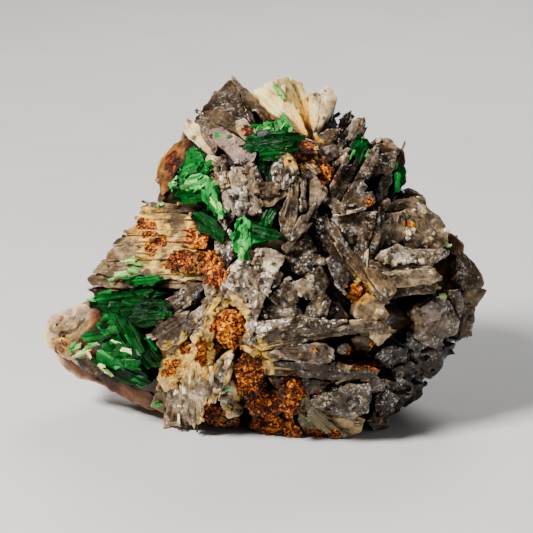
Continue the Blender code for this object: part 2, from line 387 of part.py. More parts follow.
# Torbernite plates, in the same form as the quartz blocks. A plate seen edge-on runs back further.
ROSETTES = {
    "torbernite_left_upper": {
        "upper_book": block([(88, 301), (97, 296), (122, 292), (150, 289), (161, 294), (150, 301), (120, 304),
                             (97, 306)], 3.6, (0, 0.2), (1.0, 0.3, -4.5), 0.8),
        "middle_book": block([(93, 305), (120, 303), (150, 300), (163, 300), (165, 309), (150, 313),
                              (120, 312), (105, 311)], 3.9, (0, 0), (1.0, 0, -4.5), 0.8),
        "lower_book": block([(122, 312), (142, 304), (164, 303), (167, 312), (160, 322), (144, 327),
                             (132, 322)], 4.1, (0, -0.3), (0, 0, -4.5), 0.8),
    },
    "torbernite_left_lower": {
        "leaf": block([(98, 325), (104, 315), (114, 314), (121, 321), (120, 331), (106, 335)], 3.6, (0, 0.3),
                      (0.5, -0.5, -3.5), 0.8),
        "outer_blade": block([(82, 336), (92, 330), (110, 329), (112, 336), (98, 342), (86, 341)], 3.3,
                             (0, 0.2), (1, 0, -3.5), 0.8),
        "spine_blade": block([(116, 318), (127, 319), (137, 333), (144, 352), (133, 357), (120, 338)], 4.1,
                             (0.2, 0), (0, 0, -4), 0.8),
        "mint_plate": block([(96, 353), (106, 344), (118, 340), (132, 349), (143, 358), (134, 369),
                             (112, 363), (98, 364)], 4.0, (-0.1, 0.4), (0, 0, -3.5), 0.8),
        "dark_skirt": block([(103, 362), (118, 359), (140, 367), (150, 383), (136, 387), (118, 381)], 3.8,
                            (0, -0.3), (0, 0, -4), 0.8),
        "corner_plate": block([(139, 346), (150, 344), (157, 356), (159, 367), (146, 367), (137, 358)], 3.4,
                              (0.2, 0), (0, 0, -3.5), 0.8),
    },
    "torbernite_shoulder": {
        "tip_plate": block([(186, 162), (187, 151), (194, 147), (201, 156), (203, 167), (194, 169)], 3.3,
                           (0, 0.3), (0.5, 0, -3), 0.8),
        "head_plate": block([(179, 172), (184, 162), (194, 160), (208, 162), (206, 176), (192, 183),
                             (181, 181)], 3.8, (0.1, 0.2), (0.5, 0, -3.5), 0.8),
        "pale_lens": block([(183, 186), (187, 178), (200, 174), (208, 178), (206, 184), (196, 189)], 4.3,
                           (0, 0.4), (0.5, 0, -3.5), 0.8),
        "side_scale": block([(170, 183), (178, 176), (185, 180), (181, 187), (172, 189)], 3.4, (-0.2, 0.2),
                            (1, 0, -3), 0.8),
        "dark_body": block([(172, 188), (184, 185), (207, 185), (208, 196), (196, 203), (180, 202)], 3.8,
                           (0, -0.2), (0.5, 0, -4), 0.8),
        "mint_wing": block([(205, 180), (214, 182), (217, 198), (224, 215), (212, 211), (203, 200)], 3.7,
                           (0.3, 0), (0, 0, -3.5), 0.8),
    },
    "torbernite_blade": {
        "long_plate": block([(194, 214), (202, 212), (214, 220), (223, 232), (222, 241), (212, 237),
                             (202, 228)], 3.4, (0.1, 0.1), (0.3, 0.3, -4), 0.8),
    },
    "torbernite_top": {
        "lens": block([(243, 147), (250, 138), (266, 132), (284, 131), (297, 138), (290, 146), (270, 151),
                       (252, 151)], 4.4, (0, 0.1), (0, 0, -4.5), 0.8),
        "left_cap": block([(254, 136), (257, 126), (266, 124), (274, 131), (266, 137)], 3.6, (0, 0.4),
                          (0, -0.5, -3.5), 0.8),
        "right_cap": block([(274, 135), (278, 121), (286, 120), (292, 128), (291, 137), (282, 138)], 3.8,
                           (0, 0.4), (0, -0.5, -3.5), 0.8),
        "stem_plate": block([(258, 147), (289, 145), (286, 153), (278, 161), (263, 161)], 4.0, (0, -0.2),
                            (0, 0, -4), 0.8),
        "hollow_plate": block([(256, 162), (264, 157), (278, 158), (276, 168), (273, 181), (265, 182),
                               (257, 172)], 3.0, (0.2, 0), (0, 0, -3.5), 0.8),
    },
    "torbernite_centre": {
        "upright_plate": block([(238, 222), (244, 217), (250, 222), (251, 244), (243, 257), (236, 250),
                                (233, 236)], 4.4, (-0.1, 0), (0.4, 0, -3.5), 0.8),
        "needle_plate": block([(243, 222), (257, 225), (273, 229), (285, 235), (272, 238), (254, 237),
                               (244, 230)], 4.2, (0, 0), (0, 0.3, -4), 0.8),
        "under_plate": block([(248, 230), (269, 233), (265, 240), (254, 244), (247, 241)], 3.9, (0, -0.2),
                             (0, 0, -3.5), 0.8),
        "back_plate": block([(259, 229), (264, 213), (272, 208), (277, 214), (270, 229)], 3.4, (0.2, 0),
                            (0, 0, -4), 0.8),
    },
    "torbernite_rim": {
        "crack_plate": block([(352, 152), (353, 144), (360, 137), (367, 139), (364, 150), (358, 156)], 2.9,
                             (0, 0), (0, 0, -3.5), 0.8),
        "crack_edge": block([(356, 163), (362, 150), (367, 146), (370, 149), (364, 161), (359, 168)], 3.3,
                            (0, 0), (0, 0, -4), 0.8),
    },
    "torbernite_right_edge": {
        "edge_plate": block([(396, 172), (400, 165), (405, 168), (405, 182), (400, 190), (396, 186)], 2.4,
                            (0.2, 0), (-0.6, 0, -3.5), 0.8),
    },
    "torbernite_ledge": {
        "ledge_lens": block([(128, 283), (138, 277), (152, 276), (160, 280), (150, 285), (136, 286)], 3.2,
                            (0, 0), (0.8, 0, -3.5), 0.8),
    },
}

# Blades of the hidden sides, by rule: where they sit on the body and how big they are, in millimetres.
BACK_BLADES = {
    "count": 28,
    "length": (8.0, 15.0),
    "breadth": (6.0, 9.5),
    "thickness": (1.0, 2.6),
    "turn": 2.39996,  # the golden angle spreads them evenly
    "seed": 41,
}


def place(x, y, depth):
    """Where a sheet point at this depth lies in the world, in millimetres."""
    nearness = TENTH * (SIGHT_DISTANCE - depth) / SIGHT_DISTANCE
    across = (x - SHEET_MIDDLE) * nearness
    above = (SHEET_MIDDLE - y) * nearness
    return SHEET_SEAT + RIGHT * across + UP * above + NEARER * depth


def rim_radius(angle):
    """The distance from the dome's middle to the stone's outline in that direction, in sheet units."""
    middle_x, middle_y = DOME["middle"]
    angles = np.array([math.atan2(middle_y - y, x - middle_x) for x, y in RIM])
    radii = np.array([math.hypot(x - middle_x, y - middle_y) for x, y in RIM])
    order = np.argsort(angles)
    return float(np.interp(angle, angles[order], radii[order], period=2 * math.pi))


def dome(x, y):
    """Depth of the smooth dome that the blades stand on."""
    middle_x, middle_y = DOME["middle"]
    share = math.hypot(x - middle_x, y - middle_y) / rim_radius(math.atan2(middle_y - y, x - middle_x))
    depth = DOME["top"] - DOME["drop"] * min(share, 1.05) ** DOME["power"]
    depth -= DOME["left_fall"] * max(0.0, DOME["left_from"] - x)
    depth -= DOME["head_fall"] * max(0.0, DOME["head_from"] - y)
    depth -= DOME["right_fall"] * max(0.0, x - DOME["right_from"])
    return depth


def swell(x, y):
    """Height of the low swells and pits at a sheet point."""
    height = 0.0
    for (middle_x, middle_y), (wide, high), rise in SWELLS.values():
        height += rise * math.exp(-(((x - middle_x) / wide) ** 2) - ((y - middle_y) / high) ** 2)
    return height


def dome_slope(x, y):
    """Rise of the dome to the right and upwards, in millimetres for each millimetre, held to a slope of one."""
    step = 4.0
    across = (dome(x + step, y) - dome(x - step, y)) / (2 * step * TENTH)
    above = (dome(x, y - step) - dome(x, y + step)) / (2 * step * TENTH)
    return max(-1.0, min(1.0, across)), max(-1.0, min(1.0, above))


def outward_offsets(outline):
    """For each corner of an outline, the step that moves both its edges outwards by one unit."""
    corners = np.array(outline, float)
    edges = np.roll(corners, -1, axis=0) - corners
    area = 0.5 * np.sum(corners[:, 0] * np.roll(corners[:, 1], -1) - np.roll(corners[:, 0], -1) * corners[:, 1])
    normals = np.stack([edges[:, 1], -edges[:, 0]], axis=1) * np.sign(area)
    normals /= np.linalg.norm(normals, axis=1)[:, None]
    before = np.roll(normals, 1, axis=0)
    middle = normals + before
    return middle / np.maximum(1.0 + np.sum(normals * before, axis=1), 0.35)[:, None]


def block_points(form, grow=0.0):
    """The front and back corners of a blade or lump, grown on every side by so many millimetres."""
    outline = form["outline"]
    middle_x = sum(x for x, _ in outline) / len(outline)
    middle_y = sum(y for _, y in outline) / len(outline)
    slope_across, slope_above = dome_slope(middle_x, middle_y)
    across = DOME["follow"] * slope_across + form["lean"][0]
    above = DOME["follow"] * slope_above + form["lean"][1]
    depth = dome(middle_x, middle_y) + form["lift"]
    run_across, run_above, run_depth = form["run"]
    run_across += DOME["gather"] * TENTH * (DOME["middle"][0] - middle_x)
    run_above += DOME["gather"] * TENTH * (middle_y - DOME["middle"][1])
    front = []
    back = []
    for (x, y), (step_x, step_y) in zip(outline, outward_offsets(outline)):
        aside = x - middle_x + step_x * grow / TENTH
        below = y - middle_y + step_y * grow / TENTH
        front_depth = depth + TENTH * (across * aside - above * below)
        front.append(place(middle_x + aside, middle_y + below, front_depth + grow))
        narrow_x = middle_x + aside * form["taper"] + run_across / TENTH
        narrow_y = middle_y + below * form["taper"] - run_above / TENTH
        back.append(place(narrow_x, narrow_y, front_depth + run_depth - grow))
    return front, back


def prism(front, back):
    """A closed solid between two outlines with the same number of corners."""
    solid = bmesh.new()
    first = [solid.verts.new(point) for point in front]
    last = [solid.verts.new(point) for point in back]
    solid.faces.new(first)
    solid.faces.new(list(reversed(last)))
    for i in range(len(first)):
        j = (i + 1) % len(first)
        solid.faces.new([first[i], last[i], last[j], first[j]])
    bmesh.ops.triangulate(solid, faces=solid.faces)
    bmesh.ops.recalc_face_normals(solid, faces=solid.faces)
    return solid


def body_solid():
    """The lumpy body that the blades are rooted in: a front dome and a back dome that meet at the outline."""
    spokes = 30
    rings = (0.28, 0.54, 0.77, 0.94)
    rough = np.random.default_rng(7)
    middle_x, middle_y = DOME["middle"]
    solid = bmesh.new()
    rows = []
    for side in ("front", "back"):
        for share in rings if side == "front" else tuple(reversed(rings)):
            row = []
            for i in range(spokes):
                angle = 2 * math.pi * i / spokes
                reach = rim_radius(angle) * share * 0.97
                x = middle_x + reach * math.cos(angle)
                y = middle_y - reach * math.sin(angle)
                wobble = rough.normal(0, 0.22)
                if side == "front":
                    depth = dome(x, y) - 0.9 + swell(x, y) + wobble
                else:
                    bulge = 1 - share ** DOME["back_power"]
                    depth = min(dome(x, y), 0.0) * 0.5 - 3.2 - (DOME["back"] - 3.2) * bulge + 2 * wobble
                row.append(solid.verts.new(place(x, y, depth)))
            rows.append(row)
    for upper, lower in zip(rows, rows[1:]):
        for i in range(spokes):
            j = (i + 1) % spokes
            solid.faces.new([upper[i], lower[i], lower[j], upper[j]])
    front_pole = solid.verts.new(place(middle_x, middle_y, dome(middle_x, middle_y) - 0.9))
    back_pole = solid.verts.new(place(middle_x, middle_y, -DOME["back"]))
    for i in range(spokes):
        j = (i + 1) % spokes
        solid.faces.new([front_pole, rows[0][i], rows[0][j]])
        solid.faces.new([back_pole, rows[-1][j], rows[-1][i]])
    bmesh.ops.triangulate(solid, faces=solid.faces)
    bmesh.ops.recalc_face_normals(solid, faces=solid.faces)
    return solid


def back_blades():
    """Blades that cross one another over the hidden sides, in three rough families of direction."""
    rule = BACK_BLADES
    rough = np.random.default_rng(rule["seed"])
    middle_x, middle_y = DOME["middle"]
    blades = []
    for i in range(rule["count"]):
        share = 0.04 + 0.80 * math.sqrt((i + 0.5) / rule["count"])
        angle = i * rule["turn"]
        reach = rim_radius(math.atan2(math.sin(angle), math.cos(angle))) * share
        x = middle_x + reach * math.cos(angle)
        y = middle_y - reach * math.sin(angle)
        bulge = 1 - share ** DOME["back_power"]
        depth = min(dome(x, y), 0.0) * 0.5 - 3.2 - (DOME["back"] - 3.2) * bulge
        seat = place(x, y, depth)
        outward = Vector((seat.x, seat.y - 2.0, (seat.z - SHEET_SEAT.z) * 0.8)).normalized()
        family = (i % 3) * math.radians(62) + rough.normal(0, 0.25)
        aside = outward.orthogonal().normalized()
        aside.rotate(Matrix.Rotation(family, 3, outward))
        normal = (aside + outward * rough.uniform(-0.2, 1.5)).normalized()
        along = normal.cross(outward).normalized()
        rise = along.cross(normal).normalized()
        length = rough.uniform(*rule["length"])
        breadth = rough.uniform(*rule["breadth"])
        thickness = rough.uniform(*rule["thickness"])
        seat = seat + outward * (0.9 - 0.42 * breadth)
        corners = []
        for turn, stretch in ((0.25, 1.0), (1.15, 0.95), (2.0, 1.0), (2.9, 0.9), (3.7, 0.95), (5.2, 1.0)):
            turn += rough.normal(0, 0.12)
            corner = along * (0.5 * length * math.cos(turn) * stretch)
            corner += rise * (0.5 * breadth * math.sin(turn) * stretch * 1.15)
            corners.append(seat + corner)
        front = [corner + normal * (0.5 * thickness) for corner in corners]
        back = [corner - normal * (0.5 * thickness) for corner in corners]
        blades.append(prism(front, back))
    return blades


def mesh_object(name, solid):
    """An object holding this solid, which is used up."""
    mesh = bpy.data.meshes.new(name)
    solid.to_mesh(mesh)
    solid.free()
    thing = bpy.data.objects.new(name, mesh)
    bpy.context.scene.collection.objects.link(thing)
    return thing


def combine(name, solids, operation):
    """The first solid joined with, or cut by, all the others, as one object."""
    base = mesh_object(name, solids[0])
    others = bpy.data.collections.new(name + "_others")
    bpy.context.scene.collection.children.link(others)
    for i, solid in enumerate(solids[1:]):
        thing = mesh_object(f"{name}_other_{i}", solid)
        bpy.context.scene.collection.objects.unlink(thing)
        others.objects.link(thing)
    fuse = base.modifiers.new("combine", "BOOLEAN")
    fuse.operation = operation
    fuse.operand_type = "COLLECTION"
    fuse.collection = others
    fuse.solver = "EXACT"
    bpy.context.view_layer.update()
    evaluated = base.evaluated_get(bpy.context.evaluated_depsgraph_get())
    result = bmesh.new()
    result.from_mesh(bpy.data.meshes.new_from_object(evaluated))
    for thing in list(others.objects) + [base]:
        bpy.data.objects.remove(thing)
    bpy.data.collections.remove(others)
    return result


def keep_largest(solid):
    """Only the largest connected body of a mesh: sealed hollows and loose crumbs go."""
    solid.faces.ensure_lookup_table()
    seen = set()
    bodies = []
    for start in solid.faces:
        if start.index in seen:
            continue
        stack = [start]
        seen.add(start.index)
        body = []
        while stack:
            face = stack.pop()
            body.append(face)
            for edge in face.edges:
                if len(edge.link_faces) != 2:
                    continue
                for other in edge.link_faces:
                    if other.index not in seen:
                        seen.add(other.index)
                        stack.append(other)
        bodies.append(body)
    bodies.sort(key=len)
    for body in bodies[:-1]:
        bmesh.ops.delete(solid, geom=body, context="FACES")
    return solid


def cut_level(solid):
    """Cuts a solid flat at the resting face and closes it there."""
    everything = solid.verts[:] + solid.edges[:] + solid.faces[:]
    cut = bmesh.ops.bisect_plane(
        solid, geom=everything, plane_co=(0, 0, 0), plane_no=(0, 0, 1), clear_inner=True
    )
    rim = [part for part in cut["geom_cut"] if isinstance(part, bmesh.types.BMEdge)]
    bmesh.ops.holes_fill(solid, edges=rim)
    return solid


def tidy(solid):
    """Flat neighbours joined, slivers closed up and every face a triangle."""
    bmesh.ops.dissolve_limit(
        solid, angle_limit=math.radians(2), verts=solid.verts, edges=solid.edges, delimit=set()
    )
    bmesh.ops.triangulate(solid, faces=solid.faces)
    bmesh.ops.recalc_face_normals(solid, faces=solid.faces)
    return solid


def finish(name, solid, material):
    """Scales a solid to metres, gives it its material and leaves it in the scene under its node's name."""
    bmesh.ops.transform(solid, matrix=Matrix.Scale(METRES, 4), verts=solid.verts)
    thing = mesh_object(name, solid)
    thing.data.materials.append(material)
    for face in thing.data.polygons:
        face.use_smooth = False
    return thing


def plain_material(name, colour, roughness):
    """A material with one colour and one roughness."""
    material = bpy.data.materials.new(name)
    material.use_nodes = True
    shader = material.node_tree.nodes["Principled BSDF"]
    shader.inputs["Base Color"].default_value = (*colour, 1.0)
    shader.inputs["Roughness"].default_value = roughness
    shader.inputs["Metallic"].default_value = 0.0
    return material


def make_matrix():
    """The quartz boxwork with the rosettes' seats cut out of it and its underside cut flat."""
    solids = [body_solid()]
    for group in GROUPS:
        for form in group.values():
            solids.append(prism(*block_points(form)))
    solids += back_blades()
    fused = keep_largest(combine("matrix", solids, "UNION"))
    seats = [prism(*block_points(form, SEAT_GROWTH)) for plates in ROSETTES.values() for form in plates.values()]
    seated = keep_largest(combine("matrix", [fused] + seats, "DIFFERENCE"))
    level = keep_largest(cut_level(seated))
    return finish("matrix", tidy(level), plain_material("quartz", (0.46, 0.41, 0.36), 0.45))


def make_rosette(name, plates):
    """One torbernite rosette: its plates grown through one another."""
    solids = [prism(*block_points(form)) for form in plates.values()]
    fused = combine(name, solids, "UNION") if len(solids) > 1 else solids[0]
    return finish(name, tidy(keep_largest(fused)), plain_material(name, (0.02, 0.25, 0.09), 0.35))


def main():
    for thing in list(bpy.data.objects):
        bpy.data.objects.remove(thing)
    make_matrix()
    for name, plates in ROSETTES.items():
        make_rosette(name, plates)


main()
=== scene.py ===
import math

import bpy
import numpy as np
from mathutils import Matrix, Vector


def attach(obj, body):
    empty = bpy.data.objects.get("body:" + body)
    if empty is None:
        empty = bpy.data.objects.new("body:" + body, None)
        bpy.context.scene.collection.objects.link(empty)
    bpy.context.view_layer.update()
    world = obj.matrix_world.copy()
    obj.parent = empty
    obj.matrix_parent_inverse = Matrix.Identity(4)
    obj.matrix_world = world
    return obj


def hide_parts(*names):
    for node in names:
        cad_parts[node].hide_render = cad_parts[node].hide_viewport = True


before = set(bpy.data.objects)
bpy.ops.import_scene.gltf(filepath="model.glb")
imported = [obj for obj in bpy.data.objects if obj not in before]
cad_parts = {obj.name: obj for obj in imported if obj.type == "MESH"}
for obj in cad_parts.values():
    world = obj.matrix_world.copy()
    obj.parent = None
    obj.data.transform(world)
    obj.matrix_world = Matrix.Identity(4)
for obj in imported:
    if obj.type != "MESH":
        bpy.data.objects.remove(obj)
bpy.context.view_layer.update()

print("frame loaded: nodes", len(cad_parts))

# The stone is drawn on a sheet 53.3 mm square that stands across the sight line. A sheet point is (x, y) in
# tenths of a millimetre from its top left corner, x to the right, y down; a depth is in millimetres out of
# the sheet, towards the eye. The eye is 300 mm in front of the sheet and looks down on it at 15 degrees.
# Surfaces are worked out in millimetres and turned into metres in their mesh.
sheet = {
    "tenth": 0.1,  # millimetres in one unit of the sheet
    "middle": 266.5,
    "sight": 300.0,
    "rise": math.radians(15),
    "seat": np.array([0.143, 0.338, 15.2]),  # where the sheet's middle is, in millimetres
    "metres": 0.001,
}
rightward = np.array([1.0, 0.0, 0.0])
upward = np.array([0.0, math.sin(sheet["rise"]), math.cos(sheet["rise"])])
nearer = np.array([0.0, -math.cos(sheet["rise"]), math.sin(sheet["rise"])])

# The dome that the front of the stone follows, and the hidden dome behind.
domeShape = {
    "middle": (282, 285),
    "top": 10.5,
    "drop": 12.0,
    "power": 2.6,
    "follow": 0.8,
    "back": 11.5,
    "backPower": 3.4,
    "backGap": 3.2,
    "leftFrom": 200,
    "leftFall": 0.026,
    "headFrom": 150,
    "headFall": 0.03,
    "rightFrom": 420,
    "rightFall": 0.03,
    "gather": 0.14,
}

# The stone's outline on the sheet, clockwise from the tip of the left lobe.
rimLine = np.array([
    (44, 332), (52, 316), (68, 308), (90, 299), (90, 279), (100, 263), (113, 244), (130, 227), (142, 207),
    (160, 196), (157, 170), (174, 144), (185, 121), (205, 106), (229, 80), (240, 82), (252, 91), (270, 81),
    (289, 77), (309, 93), (328, 88), (336, 106), (344, 122), (358, 126), (368, 146), (390, 142), (402, 154),
    (404, 188), (425, 203), (446, 230), (463, 246), (484, 280), (484, 298), (473, 318), (469, 336),
    (449, 348), (441, 368), (425, 388), (406, 408), (390, 426), (376, 438), (344, 442), (300, 444),
    (262, 436), (222, 430), (176, 428), (154, 412), (125, 400), (100, 384), (78, 378), (60, 362), (50, 350),
], float)

# Low swells and pits of the body under the blades: sheet point, radii in sheet units, height in millimetres.
swells = {
    "lobe": ((100, 345), (52, 34), 1.6),
    "lobeTip": ((62, 335), (22, 20), 0.9),
    "lowerLobe": ((130, 388), (30, 16), 1.0),
    "rightRim": ((462, 292), (18, 30), 0.8),
    "crownPit": ((266, 168), (12, 10), -1.6),
    "stemPit": ((320, 236), (10, 24), -2.4),
    "wedgePit": ((346, 246), (9, 20), -1.8),
    "recess": ((300, 292), (30, 30), 0.3),
    "blockPit": ((374, 183), (9, 11), -2.4),
    "rightSlot": ((412, 302), (26, 6), -2.4),
    "rightHollow": ((447, 280), (8, 18), -1.8),
    "cave": ((362, 355), (28, 12), -2.6),
    "rustPit": ((312, 158), (14, 12), -1.4),
    "footGap": ((372, 404), (5, 14), -1.8),
    "skirtGap": ((209, 388), (4, 18), -1.2),
}


# noise and relief, all as whole arrays

def cellNumber(i, j, seed):
    # a repeatable number from 0 to 1 for each whole-number cell: its two indices mixed and scrambled
    mixed = i.astype(np.int64) * 374761393 + j.astype(np.int64) * 668265263 + seed * 974634777
    mixed &= 0x7FFFFFFF
    mixed = ((mixed ^ (mixed >> 13)) * 1274126177) & 0x7FFFFFFF
    return ((mixed ^ (mixed >> 16)) & 0xFFFF) / 65535.0


def softNoise(x, y, seed):
    # cell numbers blended across each cell by the smooth step 3t^2 - 2t^3, from -1 to 1
    i, j = np.floor(x), np.floor(y)
    a, b = x - i, y - j
    a = a * a * (3 - 2 * a)
    b = b * b * (3 - 2 * b)
    low = cellNumber(i, j, seed) * (1 - a) + cellNumber(i + 1, j, seed) * a
    high = cellNumber(i, j + 1, seed) * (1 - a) + cellNumber(i + 1, j + 1, seed) * a
    return 2 * (low * (1 - b) + high * b) - 1


def roughNoise(x, y, seed, octaves=3):
    # soft noise added to itself, each time half as wide and just over half as strong
    total = np.zeros_like(x)
    for k in range(octaves):
        total += 0.55 ** k * softNoise(x * 2 ** k, y * 2 ** k, seed + 17 * k)
    return total


def cellsAround(x, y, seed, jitter):
    # for the nine cells around each point: their indices, and the way from their jittered middle to the point
    for stepI in (-1, 0, 1):
        for stepJ in (-1, 0, 1):
            i, j = np.floor(x) + stepI, np.floor(y) + stepJ
            aside = x - i - 0.5 - jitter * (cellNumber(i, j, seed) - 0.5)
            yield i, j, aside, y - j - 0.5 - jitter * (cellNumber(i, j, seed + 1) - 0.5)


def pointedField(x, y, seed):
    # the highest of the six-sided pyramids that stand one in each cell, jittered and turned: 0 to about 1
    best = np.full(x.shape, -0.6)
    for i, j, aside, above in cellsAround(x, y, seed, 0.8):
        turn = cellNumber(i, j, seed + 2) * math.pi / 3
        reach = np.zeros_like(x)
        for k in range(3):
            angle = turn + k * math.pi / 3
            reach = np.maximum(reach, np.abs(aside * np.cos(angle) + above * np.sin(angle)))
        best = np.maximum(best, 0.45 + 0.55 * cellNumber(i, j, seed + 3) - 1.2 * reach)
    return best


def lumpField(x, y, seed):
    # the highest of the round caps that stand one in each cell: 0 to about 1
    best = np.zeros_like(x)
    for i, j, aside, above in cellsAround(x, y, seed, 0.7):
        cap = (0.5 + 0.5 * cellNumber(i, j, seed + 2)) * (1 - (aside ** 2 + above ** 2) / 0.8)
        best = np.maximum(best, cap)
    return best


def unit(vectors):
    # vectors brought to length one
    return vectors / np.linalg.norm(vectors, axis=-1, keepdims=True)


def softened(values):
    # a running mean over five neighbours along a closed row
    return sum(weight * np.roll(values, k, axis=0) for k, weight in zip(range(-2, 3), (1, 2, 3, 2, 1))) / 9


# the sheet and the domes

def place(x, y, depth):
    # a sheet point's offset shrinks towards the eye by (sight - depth) / sight, then goes out along the sight
    # line
    nearness = sheet["tenth"] * (sheet["sight"] - depth) / sheet["sight"]
    across = ((x - sheet["middle"]) * nearness)[..., None] * rightward
    above = ((sheet["middle"] - y) * nearness)[..., None] * upward
    return sheet["seat"] + across + above + depth[..., None] * nearer


def sheetPoint(points):
    # the sheet coordinates and depth of points in space: the reverse of place
    offset = points - sheet["seat"]
    depth = offset @ nearer
    nearness = sheet["tenth"] * (sheet["sight"] - depth) / sheet["sight"]
    x = sheet["middle"] + (offset @ rightward) / nearness
    return x, sheet["middle"] - (offset @ upward) / nearness, depth


def rimRadius(angle):
    # the outline's distance from the dome's middle, read between its corners by angle
    middleX, middleY = domeShape["middle"]
    angles = np.arctan2(middleY - rimLine[:, 1], rimLine[:, 0] - middleX)
    radii = np.hypot(rimLine[:, 0] - middleX, rimLine[:, 1] - middleY)
    order = np.argsort(angles)
    return np.interp(angle, angles[order], radii[order], period=2 * math.pi)


def domeShare(x, y):
    # how far out a point is between the dome's middle (0) and the outline (1)
    middleX, middleY = domeShape["middle"]
    return np.hypot(x - middleX, y - middleY) / rimRadius(np.arctan2(middleY - y, x - middleX))


def dome(x, y):
    # top less drop times share^power, less a straight fall beyond the left, head and right limits
    shape = domeShape
    x = np.asarray(x, float)
    y = np.asarray(y, float)
    depth = shape["top"] - shape["drop"] * np.minimum(domeShare(x, y), 1.05) ** shape["power"]
    depth = depth - shape["leftFall"] * np.maximum(0.0, shape["leftFrom"] - x)
    depth = depth - shape["headFall"] * np.maximum(0.0, shape["headFrom"] - y)
    return depth - shape["rightFall"] * np.maximum(0.0, x - shape["rightFrom"])


def domeSlope(x, y):
    # the dome's rise in millimetres per millimetre, to the right and upwards, between points four units away
    step = 4.0
    across = (dome(x + step, y) - dome(x - step, y)) / (2 * step * sheet["tenth"])
    above = (dome(x, y - step) - dome(x, y + step)) / (2 * step * sheet["tenth"])
    return float(np.clip(across, -1, 1)), float(np.clip(above, -1, 1))


def backDome(x, y):
    # the hidden side: half the front's sag at the rim, a gap behind it, bulging to the back's depth
    bulge = 1 - np.minimum(domeShare(x, y), 1.0) ** domeShape["backPower"]
    gap = domeShape["backGap"]
    return np.minimum(dome(x, y), 0.0) * 0.5 - gap - (domeShape["back"] - gap) * bulge


# Finishes of the quartz, and at the end of the two kinds of torbernite plate: how light, warm and glassy it
# is; the relief of its skin in millimetres; how many slivers lie on 100 square units of an outline and how
# many crystals stand on 18; how ragged the outline is and how far it grows, in sheet units.
finishColumns = ("tone", "warm", "glassy", "stripe", "point", "lump", "slivers", "crystals", "ragged", "grow")
finishUsual = {"crystals": 0, "ragged": 0.9, "grow": 0.8}
finishes = {
    "grey": (0.42, 0.4, 0.65, 0.04, 0.02, 0.05, 1.3, 0.12),
    "smooth": (0.38, 0.5, 0.38, 0.03, 0.0, 0.06, 0.5),
    "paleGrey": (0.56, 0.4, 0.5, 0.04, 0.07, 0.05, 1.2, 0.12),
    "mauve": (0.45, 0.3, 0.45, 0.0, 0.02, 0.20, 0.5, 0.12),
    "beige": (0.66, 0.7, 0.3, 0.02, 0.02, 0.14, 0.7),
    "cream": (0.78, 0.6, 0.3, 0.02, 0.07, 0.30, 0.6, 0.1),
    "knobby": (0.61, 0.5, 0.4, 0.0, 0.12, 0.36, 3.0, 0.25),
    "cheek": (0.64, 0.5, 0.55, 0.0, 0.06, 0.40, 0.8, 0.1),
    "ledge": (0.52, 0.66, 0.35, 0.06, 0.03, 0.05, 1.0),
    "fan": (0.92, 1.0, 0.2, 0.05, 0.02, 0.05, 0.7),
    "rusty": (0.34, 0.9, 0.1, 0.02, 0.16, 0.20, 4.5, 0, 2.2),
    "slab": (0.42, 0.5, 0.6, 0.04, 0.04, 0.03, 1.4),
    "brown": (0.25, 0.75, 0.5, 0.05, 0.03, 0.05, 1.6),
    "shade": (0.19, 0.6, 0.6, 0.03, 0.08, 0.14, 1.4),
    "glass": (0.42, 0.0, 1.0, 0.06, 0.03, 0.04, 1.4, 0.2),
    "druse": (0.64, 0.25, 0.85, 0.01, 0.07, 0.15, 0.9, 0.35),
    "darkDruse": (0.39, 0.35, 0.9, 0.0, 0.03, 0.40, 0.8, 0.2, 0.9, 3.0),
    "olive": (0.40, 0.9, 0.6, 0.12, 0.08, 0.05, 1.6),
    "halo": (0.74, 1.0, 0.25, 0.08, 0.14, 0.14, 3.2),
    "columns": (0.60, 0.45, 0.7, 0.18, 0.03, 0.03, 3.0, 0.12),
    "lobe": (0.68, 0.8, 0.2, 0.02, 0.02, 0.14, 0.3),
    "knob": (0.52, 0.55, 0.6, 0.0, 0.01, 0.42, 0.8),
    "book": (0.30, 0.0, 0.6, 0.03, 0.0, 0.0, 0.0, 0, 1.2),
    "leaf": (0.45, 0.0, 0.8, 0.02, 0.0, 0.06, 0.0, 0, 1.2),
}
finishes = {name: {**finishUsual, **dict(zip(finishColumns, row))} for name, row in finishes.items()}


def blade(finish, outline, lift, lean=(0.0, 0.0), run=(0.0, 0.0, -6.0), taper=0.9):
    # a flat-fronted blade or lump: finish, corners on the sheet, how far its middle stands out of the dome,
    # how its front leans (rise to the right, rise upwards), how far and how narrow it runs back
    corners = np.array([corner.split(",") for corner in outline.split()], float)
    return {"finish": finish, "outline": corners, "lift": lift, "lean": lean, "run": run, "taper": taper}


def plate(kind, tone, outline, lift, lean=(0.0, 0.0), run=(0.0, 0.0, -4.0), taper=0.8, tip=None):
    # one torbernite plate: as a blade, with how pale its green is and, where it has one, its paler end
    return {**blade(kind, outline, lift, lean, run, taper), "tone": tone, "tip": tip}


